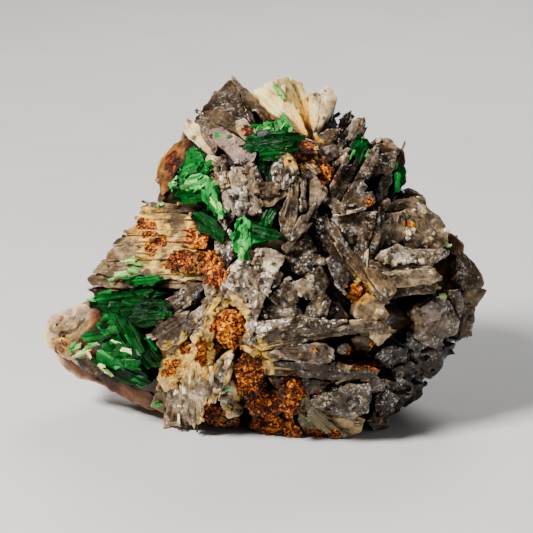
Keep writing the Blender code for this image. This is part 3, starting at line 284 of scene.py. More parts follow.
# What blade is given for each blade of the quartz, by region.
peak = {
    "peakFace": ("smooth", "196,124 204,107 216,94 229,80 235,86 242,104 249,119 236,121 220,115 207,117",
        1.0, (-0.25, 0.15), (0.5, -1.5, -6)),
    "peakRidge": ("ledge", "230,79 237,80 250,93 263,108 277,124 272,130 258,114 243,96", 2.3, (0.2, 0),
        (-0.6, -1.4, -7)),
    "peakLedge": ("smooth", "204,113 216,109 230,114 243,122 254,133 246,139 231,129 214,122", 1.9,
        (0.1, -0.2)),
    "browLeft": ("smooth", "197,121 208,116 224,124 238,134 230,143 214,131 201,131", 1.6, (-0.2, -0.2)),
    "browPlate": ("mauve", "207,131 222,127 240,139 257,153 248,168 235,160 220,147", 2.0, (0.15, -0.35)),
    "nose": ("beige", "236,121 245,119 254,129 255,137 244,139 237,131", 2.4, (0.3, -0.2)),
}
shoulder = {
    "shoulderColumn": ("cream", "184,121 190,118 198,126 208,138 216,152 212,161 203,150 191,139 184,134",
        1.6, (0.1, 0.2), (1.2, -0.5, -6)),
    "shoulderRim": ("beige", "157,168 163,156 176,144 187,138 198,148 190,162 176,170 171,187 163,195 "
        "158,180", 0.9, (0.2, 0.1), (2, -1, -6)),
    "shoulderLow": ("beige", "161,192 171,186 182,196 186,204 168,207 157,201", 0.6, (0.2, 0), (2, 0, -5)),
    "knobColumn": ("cream", "208,154 216,157 214,176 222,187 216,197 207,184 204,168", 2.0, (0.2, 0)),
    "knobHead": ("knobby", "214,158 226,155 228,168 231,181 224,192 215,183", 2.7, (-0.2, 0.2)),
    "knobNeck": ("paleGrey", "216,186 229,181 233,200 229,213 220,206", 2.3, (0.1, -0.1)),
    "knobFoot": ("grey", "221,205 232,207 233,218 226,231 219,221", 1.9, (0.2, -0.2)),
}
crown = {
    "peakRib": ("brown", "241,100 246,101 257,123 251,127", 1.5, (0, 0), (-0.4, -0.8, -5)),
    "shoulderRib": ("paleGrey", "199,129 205,128 217,147 214,153 206,142", 2.2, (0, 0.1), (1, 0, -5)),
    "crownLeft": ("knobby", "229,173 236,167 248,168 251,182 246,190 232,188", 3.0, (-0.2, 0.2)),
    "crownHump": ("knobby", "248,169 254,163 261,176 263,190 256,196 248,187", 3.4, (0.2, 0.2)),
    "crownLump": ("knobby", "258,183 270,182 281,185 277,194 264,198 256,193", 3.7, (0, 0.3)),
    "crownHorn": ("grey", "272,170 276,157 284,151 292,157 298,168 294,180 285,190 275,186", 3.6,
        (0.15, 0.1)),
    "crownSkirt": ("paleGrey", "263,197 278,193 291,182 287,195 271,206 260,206", 2.8, (0.1, -0.4)),
    "crownPrism": ("glass", "232,187 246,187 249,204 244,216 236,215 230,203", 3.6, (-0.1, -0.2)),
    "crownBase": ("paleGrey", "247,188 258,194 263,204 256,214 246,213", 3.0, (0.1, -0.3)),
}
fan = {
    "fanFirst": ("fan", "254,92 262,86 277,98 293,118 305,136 296,137 280,121 264,105", 0.9, (-0.1, 0.2),
        (0, -2, -6)),
    "fanSecond": ("fan", "263,86 274,80 286,94 300,116 309,138 302,137 288,118 274,99", 1.3, (0.2, 0.2),
        (0, -2, -6)),
    "fanThird": ("fan", "275,80 288,77 295,90 306,116 312,142 306,141 298,117 284,95", 1.7, (-0.2, 0.2),
        (0, -2, -6)),
    "fanFourth": ("fan", "289,77 302,83 307,96 314,122 316,144 311,143 304,117 294,93", 1.4, (0.2, 0.2),
        (0, -2, -6)),
    "fanLobe": ("cream", "308,93 318,94 328,86 337,98 333,109 323,123 316,142 311,122", 1.6, (0.2, 0.1),
        (-0.5, -2, -6)),
    "fanSide": ("brown", "317,136 328,130 334,129 337,138 330,146 319,148", 1.9, (0.2, 0.2)),
    "fanRoot": ("brown", "293,135 306,139 317,142 318,152 306,157 295,147", 1.5, (0, -0.3)),
    "mauveLump": ("mauve", "320,147 332,141 338,147 337,158 327,161 319,155", 1.4, (0.1, -0.1)),
    "rustFibres": ("brown", "290,147 298,143 314,162 322,172 314,173 300,162", 1.6, (0, -0.2)),
    "rustPlate": ("rusty", "318,163 324,157 334,170 332,180 325,183 319,174", 2.3, (0.3, 0)),
}
spears = {
    "spear": ("grey", "334,132 344,115 352,110 350,119 342,135 337,139", 1.7, (-0.2, 0), (0.8, -1, -6)),
    "spearLow": ("grey", "338,139 344,133 343,147 336,159 331,163 329,156", 1.6, (-0.2, 0), (0.8, 0, -5)),
    "paleSpear": ("paleGrey", "352,121 364,117 366,123 360,136 352,148 345,147 350,133", 2.1, (0.3, 0.1),
        (0.6, -1, -6)),
    "paleSpearLow": ("paleGrey", "346,148 352,149 344,159 338,162 340,153", 1.9, (0, 0), (1, 0, -5)),
    "sliver": ("slab", "347,153 351,157 336,189 331,192 330,184 339,169", 2.8, (0, 0), (1, 0.5, -7)),
    "brownSlab": ("brown", "346,168 357,161 358,166 346,189 337,204 332,199 334,190", 2.5, (-0.2, 0.1),
        (1, 0.5, -7)),
    "longSlab": ("slab", "363,165 372,148 380,148 379,160 366,178 353,200 346,209 341,203 351,186", 2.9,
        (-0.3, 0), (1, 0.5, -7)),
}
upperBlock = {
    "blockTop": ("paleGrey", "370,144 378,138 390,139 397,147 398,153 384,157 372,158", 1.5, (0, 0.4)),
    "blockFace": ("grey", "369,160 384,154 397,152 393,169 385,177 383,172 369,174 364,168", 2.3,
        (0.1, 0.1)),
    "blockInner": ("shade", "384,173 391,171 392,182 381,200 374,202 379,186", 1.9, (-0.4, 0)),
    "blockWing": ("paleGrey", "396,151 403,151 405,166 403,185 396,190 393,176", 1.0, (0.2, 0),
        (-0.5, 0, -6)),
    "blockGlint": ("glass", "353,185 361,180 368,187 363,194 355,193", 3.2, (0.1, 0.3)),
    "blockLow": ("grey", "346,207 354,195 373,191 374,203 357,212 338,213 333,205", 2.8, (0.1, -0.3)),
    "blockCorner": ("grey", "330,190 338,200 345,208 336,213 327,204", 2.5, (-0.2, -0.1)),
    "wedge": ("grey", "331,218 350,214 377,212 374,226 366,250 360,264 354,261 343,241", 2.4, (0.25, 0.1),
        (0.3, 0, -6)),
    "wedgeEdge": ("slab", "378,212 386,213 379,240 371,262 364,264 371,242", 2.7, (0, 0), (-0.4, 0, -6)),
    "wedgeRib": ("slab", "387,213 391,216 383,244 377,260 374,253", 1.9),
}
rightSide = {
    "ridge": ("paleGrey", "386,207 396,201 412,197 424,197 427,206 412,206 400,212 389,214", 2.0, (0, 0.5)),
    "farHill": ("grey", "400,190 410,188 422,196 424,204 410,204 398,202", 0.5, (0.2, 0.3), (-1, -1, -6)),
    "cheekLeft": ("paleGrey", "389,214 403,212 405,226 403,238 392,247 384,249 386,232", 1.8, (0.3, 0.1)),
    "cheek": ("cheek", "404,211 424,205 440,219 448,232 447,246 430,251 412,251 402,240 405,225", 2.4,
        (-0.1, 0.15)),
    "cheekLip": ("druse", "383,250 396,246 411,249 430,249 445,249 449,254 431,266 412,262 390,264 375,259",
        3.1, (0, -0.3), (0, 0.6, -7)),
    "barUpper": ("slab", "361,262 376,262 400,265 424,262 428,268 404,273 380,272 364,267", 2.5, (0, 0),
        (0, 0.5, -7)),
    "thickBar": ("paleGrey", "370,279 388,274 404,272 430,266 442,277 434,283 404,287 384,288", 3.4,
        (0.1, 0.2), (0, 0.3, -8)),
    "barUnder": ("slab", "374,285 404,284 438,282 434,293 406,295 388,300 380,297", 2.8, (0, -0.5),
        (0, 0.5, -8)),
    "barFront": ("beige", "363,268 376,270 390,279 397,291 388,300 378,290 370,280", 3.5, (-0.2, 0),
        (0.3, 0.5, -7)),
    "rimTop": ("beige", "445,233 452,234 463,244 463,252 456,257 446,249", 1.3, (0.3, 0.3), (-1, -1, -6)),
    "rimBrow": ("knob", "459,249 470,260 482,275 484,285 474,292 460,288 455,276 456,260", 1.1, (-0.1, 0.1),
        (-2, -1, -6)),
    "rimCheek": ("beige", "474,288 487,290 482,298 476,306 462,307 456,296", 1.3, (0.1, -0.1), (-2, 0, -6)),
    "rimJaw": ("knob", "447,297 460,292 474,306 474,320 470,335 458,341 450,331 454,312", 0.8, (0.2, -0.1),
        (-2, 0, -6)),
    "boulder": ("knob", "411,314 416,304 428,303 437,297 449,301 453,312 460,322 455,334 444,338 436,348 "
        "424,344 414,336 416,324", 2.0, (0.1, 0.1), (-0.5, 0, -6), 0.75),
    "boulderCap": ("mauve", "420,308 432,302 444,308 440,320 426,322", 3.0, (0.0, 0.2), (-0.5, 0, -5), 0.8),
    "boulderCheek": ("mauve", "424,326 436,322 448,328 442,338 430,340", 2.7, (0.1, -0.1), (-0.5, 0, -5),
        0.8),
    "rimFold": ("knob", "448,292 460,290 464,304 460,318 452,308", 1.2, (0, 0.1), (-1, 0, -5)),
    "rimStep": ("mauve", "458,318 468,316 470,330 460,336", 1.4, (0.1, -0.2), (-1, 0, -5)),
    "rimSlope": ("knob", "430,348 446,342 456,344 446,358 434,362", 1.2, (0.1, -0.2), (-1, 0, -5)),
    "boulderLow": ("shade", "408,331 418,334 428,346 418,351 406,345", 1.6, (-0.2, -0.1)),
}
crack = {
    "lamella": ("slab", "328,223 334,222 345,240 361,262 378,284 389,300 384,305 366,284 348,262 336,244",
        3.0, (0, 0), (-0.8, -0.5, -7)),
    "lamellaUnder": ("brown", "320,238 327,233 340,251 356,271 366,283 361,289 345,270 330,253", 2.2, (0, 0),
        (-0.5, -0.3, -6)),
    "greyPrism": ("glass", "326,259 333,256 348,272 351,280 342,289 333,276", 2.7, (-0.4, 0.1),
        (0.3, 0, -6)),
    "knobLump": ("beige", "358,303 368,293 378,300 388,314 386,320 366,323 356,318", 3.2, (0, 0.1)),
    "rustSeat": ("rusty", "351,287 364,284 369,292 360,300 351,299", 1.9, (0, 0.2)),
}
stems = {
    "voidSpear": ("glass", "313,214 318,211 324,226 330,248 327,262 319,246", 0.6, (-0.3, 0), (0, 0, -4)),
    "voidShard": ("glass", "321,218 327,214 333,230 340,252 335,254 326,236", 0.9, (0.3, 0), (0, 0, -4)),
    "voidRock": ("darkDruse", "321,223 328,221 331,232 327,239 319,233", 1.4, (0.2, 0.3)),
    "voidFoot": ("shade", "308,244 318,246 326,258 322,266 311,258", 1.0, (0.1, 0.2)),
    "oliveBar": ("olive", "262,208 270,203 285,190 281,204 263,227 253,223", 1.6, (0.2, -0.2)),
    "leftStem": ("slab", "284,205 296,176 299,181 298,204 296,222 288,237 282,232 279,216", 2.9, (-0.2, 0)),
    "middleStem": ("grey", "301,172 306,177 307,209 300,211", 2.7, (0, 0.1)),
    "rightStem": ("paleGrey", "309,182 317,178 325,188 327,196 318,207 309,209", 2.9, (0.2, 0.1)),
    "stemTop": ("grey", "298,163 308,170 321,182 328,191 320,187 302,176", 2.1, (0.2, 0.2)),
    "lightBar": ("paleGrey", "300,216 311,213 306,227 294,244 287,254 282,247 293,232", 3.6, (0.1, 0),
        (-0.4, 0, -6)),
}
centre = {
    "olivePlate": ("olive", "252,243 262,236 287,236 285,245 270,251 254,251", 2.7, (0, 0.4)),
    "druseTop": ("druse", "247,250 270,249 285,256 277,272 262,275 250,266", 3.3, (0.1, 0.25)),
    "druseLeft": ("druse", "233,266 250,251 259,276 256,301 243,297 225,286", 3.2, (-0.25, 0.1)),
    "druseRight": ("druse", "258,275 276,271 268,292 257,318 253,336 246,319 245,300", 3.5, (0.1, -0.05)),
    "druseFoot": ("paleGrey", "219,285 228,279 245,297 249,318 238,309 226,299", 2.8, (-0.2, -0.2)),
    "druseRibs": ("paleGrey", "225,273 244,251 250,252 232,277 221,291", 2.9, (-0.3, 0)),
    "footRib": ("grey", "240,316 252,330 253,344 244,346 240,332", 2.6, (-0.1, 0)),
    "recessHead": ("darkDruse", "305,232 316,252 323,263 306,263 291,263 287,256", 1.9, (0, -0.2)),
    "recessWall": ("darkDruse", "308,277 320,266 327,282 322,293 309,287", 2.0, (-0.4, 0)),
    "recessStep": ("paleGrey", "293,282 304,279 315,288 312,299 300,295", 2.8, (0.1, 0.2)),
    "recessLump": ("darkDruse", "269,297 280,290 287,281 295,290 297,302 282,305", 2.5, (0, 0.1)),
    "recessTooth": ("grey", "268,281 276,271 283,274 279,284 272,289", 2.6, (0.2, 0)),
    "recessFloor": ("darkDruse", "262,307 276,304 296,306 303,318 284,323 262,320", 2.0, (0, -0.1)),
    "recessPillar": ("grey", "304,317 312,298 322,291 331,300 326,319 314,323", 2.3, (0.2, 0)),
    "recessEnd": ("shade", "330,299 340,305 350,318 341,323 327,322", 1.8, (0.1, 0)),
    "recessBar": ("darkDruse", "254,319 270,322 300,318 322,321 346,321 322,331 290,337 262,347 253,343",
        3.3, (0, -0.1)),
}
lowBlades = {
    "smallKnob": ("druse", "337,348 345,343 351,348 346,355 337,353", 2.4),
    "caveLip": ("shade", "392,369 412,362 422,372 410,380 391,379", 1.0, (0.1, 0.2)),
    "clawBack": ("shade", "396,397 405,402 399,411 389,415 391,403", 1.8, (0.2, 0)),
    "recessDark": ("darkDruse", "292,262 308,260 319,268 306,276 294,270", 1.3, (-0.2, -0.3)),
    "blockEnd": ("paleGrey", "375,201 389,199 390,206 381,214 374,210", 2.2, (0.1, -0.1)),
    "topBlade": ("slab", "256,347 290,338 330,328 364,322 386,321 388,333 362,333 330,337 290,345 262,351",
        3.2, (0, 0), (0, 0.7, -8)),
    "topBladeTip": ("cream", "371,325 384,320 391,328 388,337 378,345 369,337", 3.4, (-0.2, 0)),
    "roundBlade": ("paleGrey", "262,353 290,345 322,343 334,350 331,362 318,365 290,359 266,359", 3.6,
        (0, 0.1), (0, 0.5, -8)),
    "darkBlade": ("brown", "263,361 300,362 340,367 377,371 375,378 340,381 300,377 266,375", 3.2, (0, 0.3),
        (0, 0.5, -8)),
    "shadeBlade": ("shade", "268,377 300,378 332,382 322,391 300,397 276,389", 2.2, (0, -0.2)),
    "caveRock": ("beige", "351,339 362,334 375,340 369,351 356,349", 1.5, (0, 0.2)),
    "caveShelf": ("shade", "378,351 392,346 407,350 405,361 388,367 375,359", 1.2, (0, 0.3)),
    "lowRim": ("knob", "409,351 440,342 447,350 442,367 430,379 415,371", 0.5, (0.1, 0), (-2, 0, -6)),
    "lowCorner": ("glass", "384,381 398,378 413,384 410,398 396,397 385,392", 2.0, (0.1, 0.1)),
    "lowEdge": ("brown", "404,389 425,383 421,396 405,407 396,402", 1.4, (0.2, 0), (-1.5, 0, -6)),
}
foot = {
    "claw": ("glass", "376,397 386,390 399,398 391,412 382,419 376,408", 2.8, (0.2, 0)),
    "clawFoot": ("grey", "371,417 380,418 388,413 388,428 384,436 373,431", 2.4, (0, 0.1)),
    "roundStud": ("grey", "367,381 376,376 385,382 384,391 374,393 367,388", 2.8, (0, 0.2)),
    "taperedBlade": ("darkDruse", "311,403 330,394 346,388 367,386 369,398 366,411 352,417 332,413", 3.7,
        (0, 0.15), (0, 0.5, -7)),
    "taperedUnder": ("beige", "328,412 352,415 365,420 360,432 344,438 334,428", 3.2, (0, -0.1)),
    "oliveBlade": ("olive", "299,399 308,396 317,408 331,422 344,434 334,440 318,425 303,412", 3.2,
        (0.1, 0)),
    "oliveBladeLow": ("olive", "300,413 316,422 331,434 324,441 306,434 298,422", 2.8),
    "rustMassTop": ("rusty", "215,318 226,308 241,312 245,330 240,345 226,347 216,337", 2.8, (-0.1, 0.1)),
    "rustMassUpper": ("rusty", "234,367 244,355 257,360 264,373 262,393 248,399 237,386", 2.9, (0, 0.1)),
    "rustMass": ("rusty", "245,396 262,389 281,392 285,410 270,421 249,413", 3.0),
    "rustMassRight": ("rusty", "280,389 292,380 302,388 299,408 290,421 281,409", 3.4, (0.1, 0)),
    "rustMassFoot": ("rusty", "256,414 274,416 292,422 302,434 286,440 264,435 250,428", 3.0),
    "rustMassLeft": ("rusty", "205,403 222,404 236,412 240,424 214,424 201,418", 2.0),
    "haloPlate": ("halo", "240,346 252,343 264,350 264,362 250,356", 2.7),
}
skirt = {
    "skirtLeft": ("columns", "167,382 182,374 185,400 192,418 187,425 166,425 167,404", 2.2, (-0.1, 0)),
    "skirtPlate": ("columns", "184,374 196,363 208,371 208,396 203,414 199,424 188,420 182,400", 2.7,
        (0.1, 0.1)),
    "skirtColumn": ("columns", "210,376 222,356 233,350 229,372 222,392 214,403 209,400", 2.6, (0.1, 0)),
    "skirtPrism": ("glass", "225,380 240,382 244,398 241,414 228,419 221,404", 2.4, (0.1, 0)),
    "palePlate": ("halo", "158,378 165,360 184,346 206,340 215,350 212,370 196,377 176,382 166,392", 1.8,
        (-0.1, 0.1)),
    "paleEdge": ("beige", "151,406 157,385 167,380 168,400 166,414", 1.2, (0.2, 0)),
    "thickDiagonal": ("grey", "190,337 210,308 222,288 231,296 223,312 213,333 198,351", 2.4, (-0.1, 0),
        (0.5, -0.4, -6)),
    "greyDiagonal": ("grey", "164,329 186,318 204,302 214,291 217,300 201,322 183,341 163,351 156,343", 1.9,
        (-0.1, 0.1), (0.4, -0.5, -6)),
    "thinDiagonal": ("paleGrey", "149,337 160,324 176,314 189,311 185,320 168,331 154,341", 2.5, (0, -0.2),
        (0.6, 0.4, -6)),
    "brownDiagonal": ("brown", "158,318 166,300 190,284 207,284 197,297 177,310 164,322", 1.8, (0, 0.2),
        (0.4, 0.3, -6)),
    "lowDiagonal": ("grey", "157,352 181,342 197,341 181,357 160,368", 1.5),
    "joinPlate": ("paleGrey", "205,285 222,279 232,295 226,309 214,309 207,297", 2.3, (-0.1, 0.1)),
}
ledges = {
    "ledgeFirst": ("ledge", "141,208 150,202 172,204 200,206 222,213 226,220 200,214 170,212 145,214", 1.5,
        (0, 0.3), (1.5, 0.6, -6)),
    "ledgeSecond": ("ledge", "135,217 150,213 180,214 205,216 215,222 200,226 170,224 137,225", 1.3, (0, 0),
        (1.5, 0.4, -6)),
    "ledgeThird": ("ledge", "128,229 140,223 170,224 198,226 207,234 180,236 150,235 127,235", 1.7, (0, 0.2),
        (1.5, 0.3, -6)),
    "ledgeFourth": ("ledge", "113,243 124,236 150,234 181,237 210,240 203,249 160,247 113,248", 1.5,
        (0, -0.1), (1.5, 0.2, -6)),
    "ledgeFifth": ("ledge", "107,255 114,247 150,247 192,249 218,253 216,262 180,259 140,259 105,261", 1.9,
        (0, 0.2), (1.5, 0, -6)),
    "ledgeSixth": ("ledge", "98,265 106,259 140,259 180,259 208,263 208,271 170,270 130,271 97,269", 1.6,
        (0, 0), (1.5, 0, -6)),
    "ledgeSeventh": ("ledge", "92,273 98,267 130,269 170,270 208,273 206,281 170,279 120,277", 1.9, (0, 0.2),
        (1.5, 0, -6)),
    "ledgeEighth": ("ledge", "87,278 94,273 120,277 170,279 197,281 190,288 150,289 110,287 91,285", 1.6,
        (0, 0), (1.5, 0, -6)),
    "ledgeNinth": ("ledge", "92,288 110,286 150,288 163,292 150,299 120,299 96,297", 1.2, (0, -0.2),
        (1.5, 0, -6)),
    "rustShelf": ("rusty", "170,256 186,253 204,254 209,270 190,274 174,270", 2.2, (0, 0.1)),
    "rustShelfRight": ("rusty", "202,258 212,252 222,262 226,274 216,288 205,284", 2.4, (0.1, 0)),
    "rustKnob": ("rusty", "191,234 199,229 206,236 206,248 196,246", 2.0, (0, 0.1)),
    "neckPlate": ("grey", "214,232 228,226 236,240 234,256 226,270 216,254", 2.1, (0.1, 0.1)),
}
lobe = {
    "lobeRib": ("beige", "52,342 62,338 84,352 104,366 100,374 78,364 58,352", 2.0, (-0.2, 0.1),
        (1.0, 0, -4), 0.8),
    "lobeCap": ("beige", "48,328 60,316 78,310 88,316 76,326 58,334", 2.0, (-0.2, 0.3), (1.0, 0, -4), 0.8),
    "lobeShade": ("brown", "76,358 92,360 104,372 96,376 80,368", 2.1, (0, -0.3), (1.0, 0, -3), 0.8),
    "lobeHead": ("lobe", "44,332 50,318 60,311 76,306 94,303 104,318 100,340 86,352 68,360 55,352 46,344",
        1.0, (-0.3, 0.1), (1.0, 0, -5), 0.8),
    "lobeFoot": ("lobe", "56,354 84,350 112,362 142,386 156,398 154,411 126,399 101,384 79,378 62,364", 0.9,
        (-0.1, -0.3), (1.0, 0.6, -5), 0.8),
}

regions = {
    "peak": peak,
    "shoulder": shoulder,
    "crown": crown,
    "fan": fan,
    "spears": spears,
    "upper_block": upperBlock,
    "right_side": rightSide,
    "crack": crack,
    "stems": stems,
    "centre": centre,
    "low_blades": lowBlades,
    "foot": foot,
    "skirt": skirt,
    "ledges": ledges,
    "lobe": lobe,
}

# Torbernite plates. Kinds: book is a stack seen on its edges, leaf is a plate seen on its face. For each: the
# width of its sheets, how many leaflets stand on one square unit, how far they turn, and by how many
# millimetres one sheet stands out of the next.
plateKinds = {
    "book": {"sheet": 1.3, "leaflets": 0.024, "turn": 0.12, "relief": 0.16},
    "leaf": {"sheet": 3.2, "leaflets": 0.05, "turn": 0.38, "relief": 0.05},
}

# What plate is given for each torbernite plate, by the node it stands for.
rosettes = {
    "torbernite_left_upper": {
        "upperBook": ("book", 0.22, "88,301 97,296 122,292 150,289 161,294 150,301 120,304 97,306", 3.6,
            (0, 0.2), (1.0, 0.3, -4.5), 0.8, ((90, 302), 16, 0.45)),
        "middleBook": ("book", 0.16, "93,305 120,303 150,300 163,300 165,309 150,313 120,312 105,311", 3.9,
            (0, 0), (1.0, 0, -4.5)),
        "lowerBook": ("book", 0.10, "122,312 142,304 164,303 167,312 160,322 144,327 132,322", 4.1,
            (0, -0.3), (0, 0, -4.5)),
    },
    "torbernite_left_lower": {
        "leaf": ("leaf", 0.32, "98,325 104,315 114,314 121,321 120,331 106,335", 3.6, (0, 0.3),
            (0.5, -0.5, -3.5)),
        "outerBlade": ("book", 0.24, "82,336 92,330 110,329 112,336 98,342 86,341", 3.3, (0, 0.2),
            (1, 0, -3.5), 0.8, ((84, 338), 14, 0.35)),
        "spineBlade": ("book", 0.16, "116,318 127,319 137,333 144,352 133,357 120,338", 4.1, (0.2, 0)),
        "mintPlate": ("leaf", 0.40, "96,353 106,344 118,340 132,349 143,358 134,369 112,363 98,364", 4.0,
            (-0.1, 0.4), (0, 0, -3.5)),
        "darkSkirt": ("book", 0.12, "103,362 118,359 140,367 150,383 136,387 118,381", 3.8, (0, -0.3)),
        "cornerPlate": ("book", 0.20, "139,346 150,344 157,356 159,367 146,367 137,358", 3.4, (0.2, 0),
            (0, 0, -3.5)),
    },
    "torbernite_shoulder": {
        "tipPlate": ("leaf", 0.34, "186,162 187,151 194,147 201,156 203,167 194,169", 3.3, (0, 0.3),
            (0.5, 0, -3)),
        "headPlate": ("leaf", 0.36, "179,172 184,162 194,160 208,162 206,176 192,183 181,181", 3.8,
            (0.1, 0.2), (0.5, 0, -3.5)),
        "paleLens": ("leaf", 0.66, "183,186 187,178 200,174 208,178 206,184 196,189", 4.3, (0, 0.4),
            (0.5, 0, -3.5)),
        "sideScale": ("leaf", 0.71, "170,183 178,176 185,180 181,187 172,189", 3.4, (-0.2, 0.2), (1, 0, -3)),
        "darkBody": ("book", 0.15, "172,188 184,185 207,185 208,196 196,203 180,202", 3.8, (0, -0.2),
            (0.5, 0, -4)),
        "mintWing": ("leaf", 0.50, "205,180 214,182 217,198 224,215 212,211 203,200", 3.7, (0.3, 0),
            (0, 0, -3.5)),
    },
    "torbernite_blade": {
        "longPlate": ("book", 0.22, "194,214 202,212 214,220 223,232 222,241 212,237 202,228", 3.4,
            (0.1, 0.1), (0.3, 0.3, -4)),
    },
    "torbernite_top": {
        "lens": ("book", 0.14, "243,147 250,138 266,132 284,131 297,138 290,146 270,151 252,151", 4.4,
            (0, 0.1), (0, 0, -4.5)),
        "leftCap": ("leaf", 0.68, "254,136 257,126 266,124 274,131 266,137", 3.6, (0, 0.4), (0, -0.5, -3.5)),
        "rightCap": ("leaf", 0.60, "274,135 278,121 286,120 292,128 291,137 282,138", 3.8, (0, 0.4),
            (0, -0.5, -3.5)),
        "stemPlate": ("book", 0.24, "258,147 289,145 286,153 278,161 263,161", 4.0, (0, -0.2)),
        "hollowPlate": ("book", 0.06, "256,162 264,157 278,158 276,168 273,181 265,182 257,172", 3.0,
            (0.2, 0), (0, 0, -3.5)),
    },
    "torbernite_centre": {
        "uprightPlate": ("leaf", 0.60, "238,222 244,217 250,222 251,244 243,257 236,250 233,236", 4.4,
            (-0.1, 0), (0.4, 0, -3.5)),
        "needlePlate": ("book", 0.16, "243,222 257,225 273,229 285,235 272,238 254,237 244,230", 4.2, (0, 0),
            (0, 0.3, -4)),
        "underPlate": ("leaf", 0.34, "248,230 269,233 265,240 254,244 247,241", 3.9, (0, -0.2),
            (0, 0, -3.5)),
        "backPlate": ("book", 0.18, "259,229 264,213 272,208 277,214 270,229", 3.4, (0.2, 0)),
    },
    "torbernite_rim": {
        "crackPlate": ("leaf", 0.26, "352,152 353,144 360,137 367,139 364,150 358,156", 2.9, (0, 0),
            (0, 0, -3.5)),
        "crackEdge": ("book", 0.14, "356,163 362,150 367,146 370,149 364,161 359,168", 3.3),
    },
    "torbernite_right_edge": {
        "edgePlate": ("book", 0.36, "396,172 400,165 405,168 405,182 400,190 396,186", 2.4, (0.2, 0),
            (-0.6, 0, -3.5)),
    },
    "torbernite_ledge": {
        "ledgeLens": ("book", 0.32, "128,283 138,277 152,276 160,280 150,285 136,286", 3.2, (0, 0),
            (0.8, 0, -3.5)),
    },
}

# How finely a blade is cut up, in sheet units or millimetres.
bladeGrid = {
    "spacing": 1.2,
    "sideRows": (0.05, 0.16, 0.32, 0.52, 0.76, 1.05, 1.4, 2.0, 3.2),
    "layer": 0.34,  # thickness of the layers that show on a blade's sides
    "layerStep": 0.5,  # how far one layer stands proud of the next, in sheet units
    "edgeDrop": 0.07,
}
plateGrid = {
    "spacing": 0.75,
    "sideRows": (0.03, 0.1, 0.18, 0.27, 0.37, 0.48, 0.62, 0.8, 1.1, 1.6, 2.4),
    "layer": 0.16,
    "layerStep": 0.8,
    "edgeDrop": 0.03,
}


def evenOutline(corners, spacing, roughness, seed):
    # the corners joined by straight runs, sampled evenly, softened by a short running mean, then moved
    # outwards by noise along the way round
    loop = np.vstack([corners, corners[:1]])
    marks = np.concatenate([[0.0], np.cumsum(np.linalg.norm(np.diff(loop, axis=0), axis=1))])
    count = int(max(28, round(marks[-1] / spacing)))
    at = np.linspace(0, marks[-1], count, endpoint=False)
    line = softened(np.stack([np.interp(at, marks, loop[:, 0]), np.interp(at, marks, loop[:, 1])], axis=1))
    tangent = np.roll(line, -1, axis=0) - np.roll(line, 1, axis=0)
    normal = np.stack([tangent[:, 1], -tangent[:, 0]], axis=1)
    normal /= np.maximum(np.linalg.norm(normal, axis=1), 1e-9)[:, None]
    turn = 2 * math.pi * np.arange(count) / count
    ring = marks[-1] / (2 * math.pi)
    wave = roughNoise(ring * np.cos(turn) / 7 + 50, ring * np.sin(turn) / 7 + 50, seed, 3)
    return line + normal * (roughness * wave)[:, None], normal


def orient(corners):
    # corners in the order that makes (dy, -dx) point outwards
    x, y = corners.T
    return corners if np.sum(x * np.roll(y, -1) - np.roll(x, -1) * y) > 0 else corners[::-1]


def outlineArea(outline):
    x, y = outline.T
    return 0.5 * abs(np.sum(x * np.roll(y, -1) - np.roll(x, -1) * y))


def spineOf(line, middle):
    # every rim point's partner on the blade's middle line: its place along the long axis, held short of the
    # ends, on the parabola that runs down the blade's middle
    offsets = line - middle
    side, along = np.linalg.eigh(offsets.T @ offsets)[1].T
    far = offsets @ along
    wide = offsets @ side
    halfLength = 0.5 * (far.max() - far.min())
    halfWidth = 0.5 * (wide.max() - wide.min())
    reach = max(0.0, halfLength - 1.05 * halfWidth)
    centre = 0.5 * (far.max() + far.min())
    held = np.clip(far - centre, -reach, reach) + centre
    bent = np.polyval(np.polyfit(far, wide, 2), held)
    return middle + held[:, None] * along + bent[:, None] * side, along, side, halfWidth


def ringFaces(rows, count):
    # quads between rings of points that follow one another, then a fan from the first ring to the point after
    # them all and one from the last ring to the point after that
    index = np.arange(rows * count).reshape(rows, count)
    following = np.roll(index, -1, axis=1)
    quads = np.stack([index[:-1], index[1:], following[1:], following[:-1]], axis=-1).reshape(-1, 4)
    closing = np.full(count, rows * count)
    tops = np.stack([closing, index[0], following[0]], axis=-1)
    bottoms = np.stack([closing + 1, following[-1], index[-1]], axis=-1)
    return {"quads": quads, "triangles": np.vstack([tops, bottoms])}


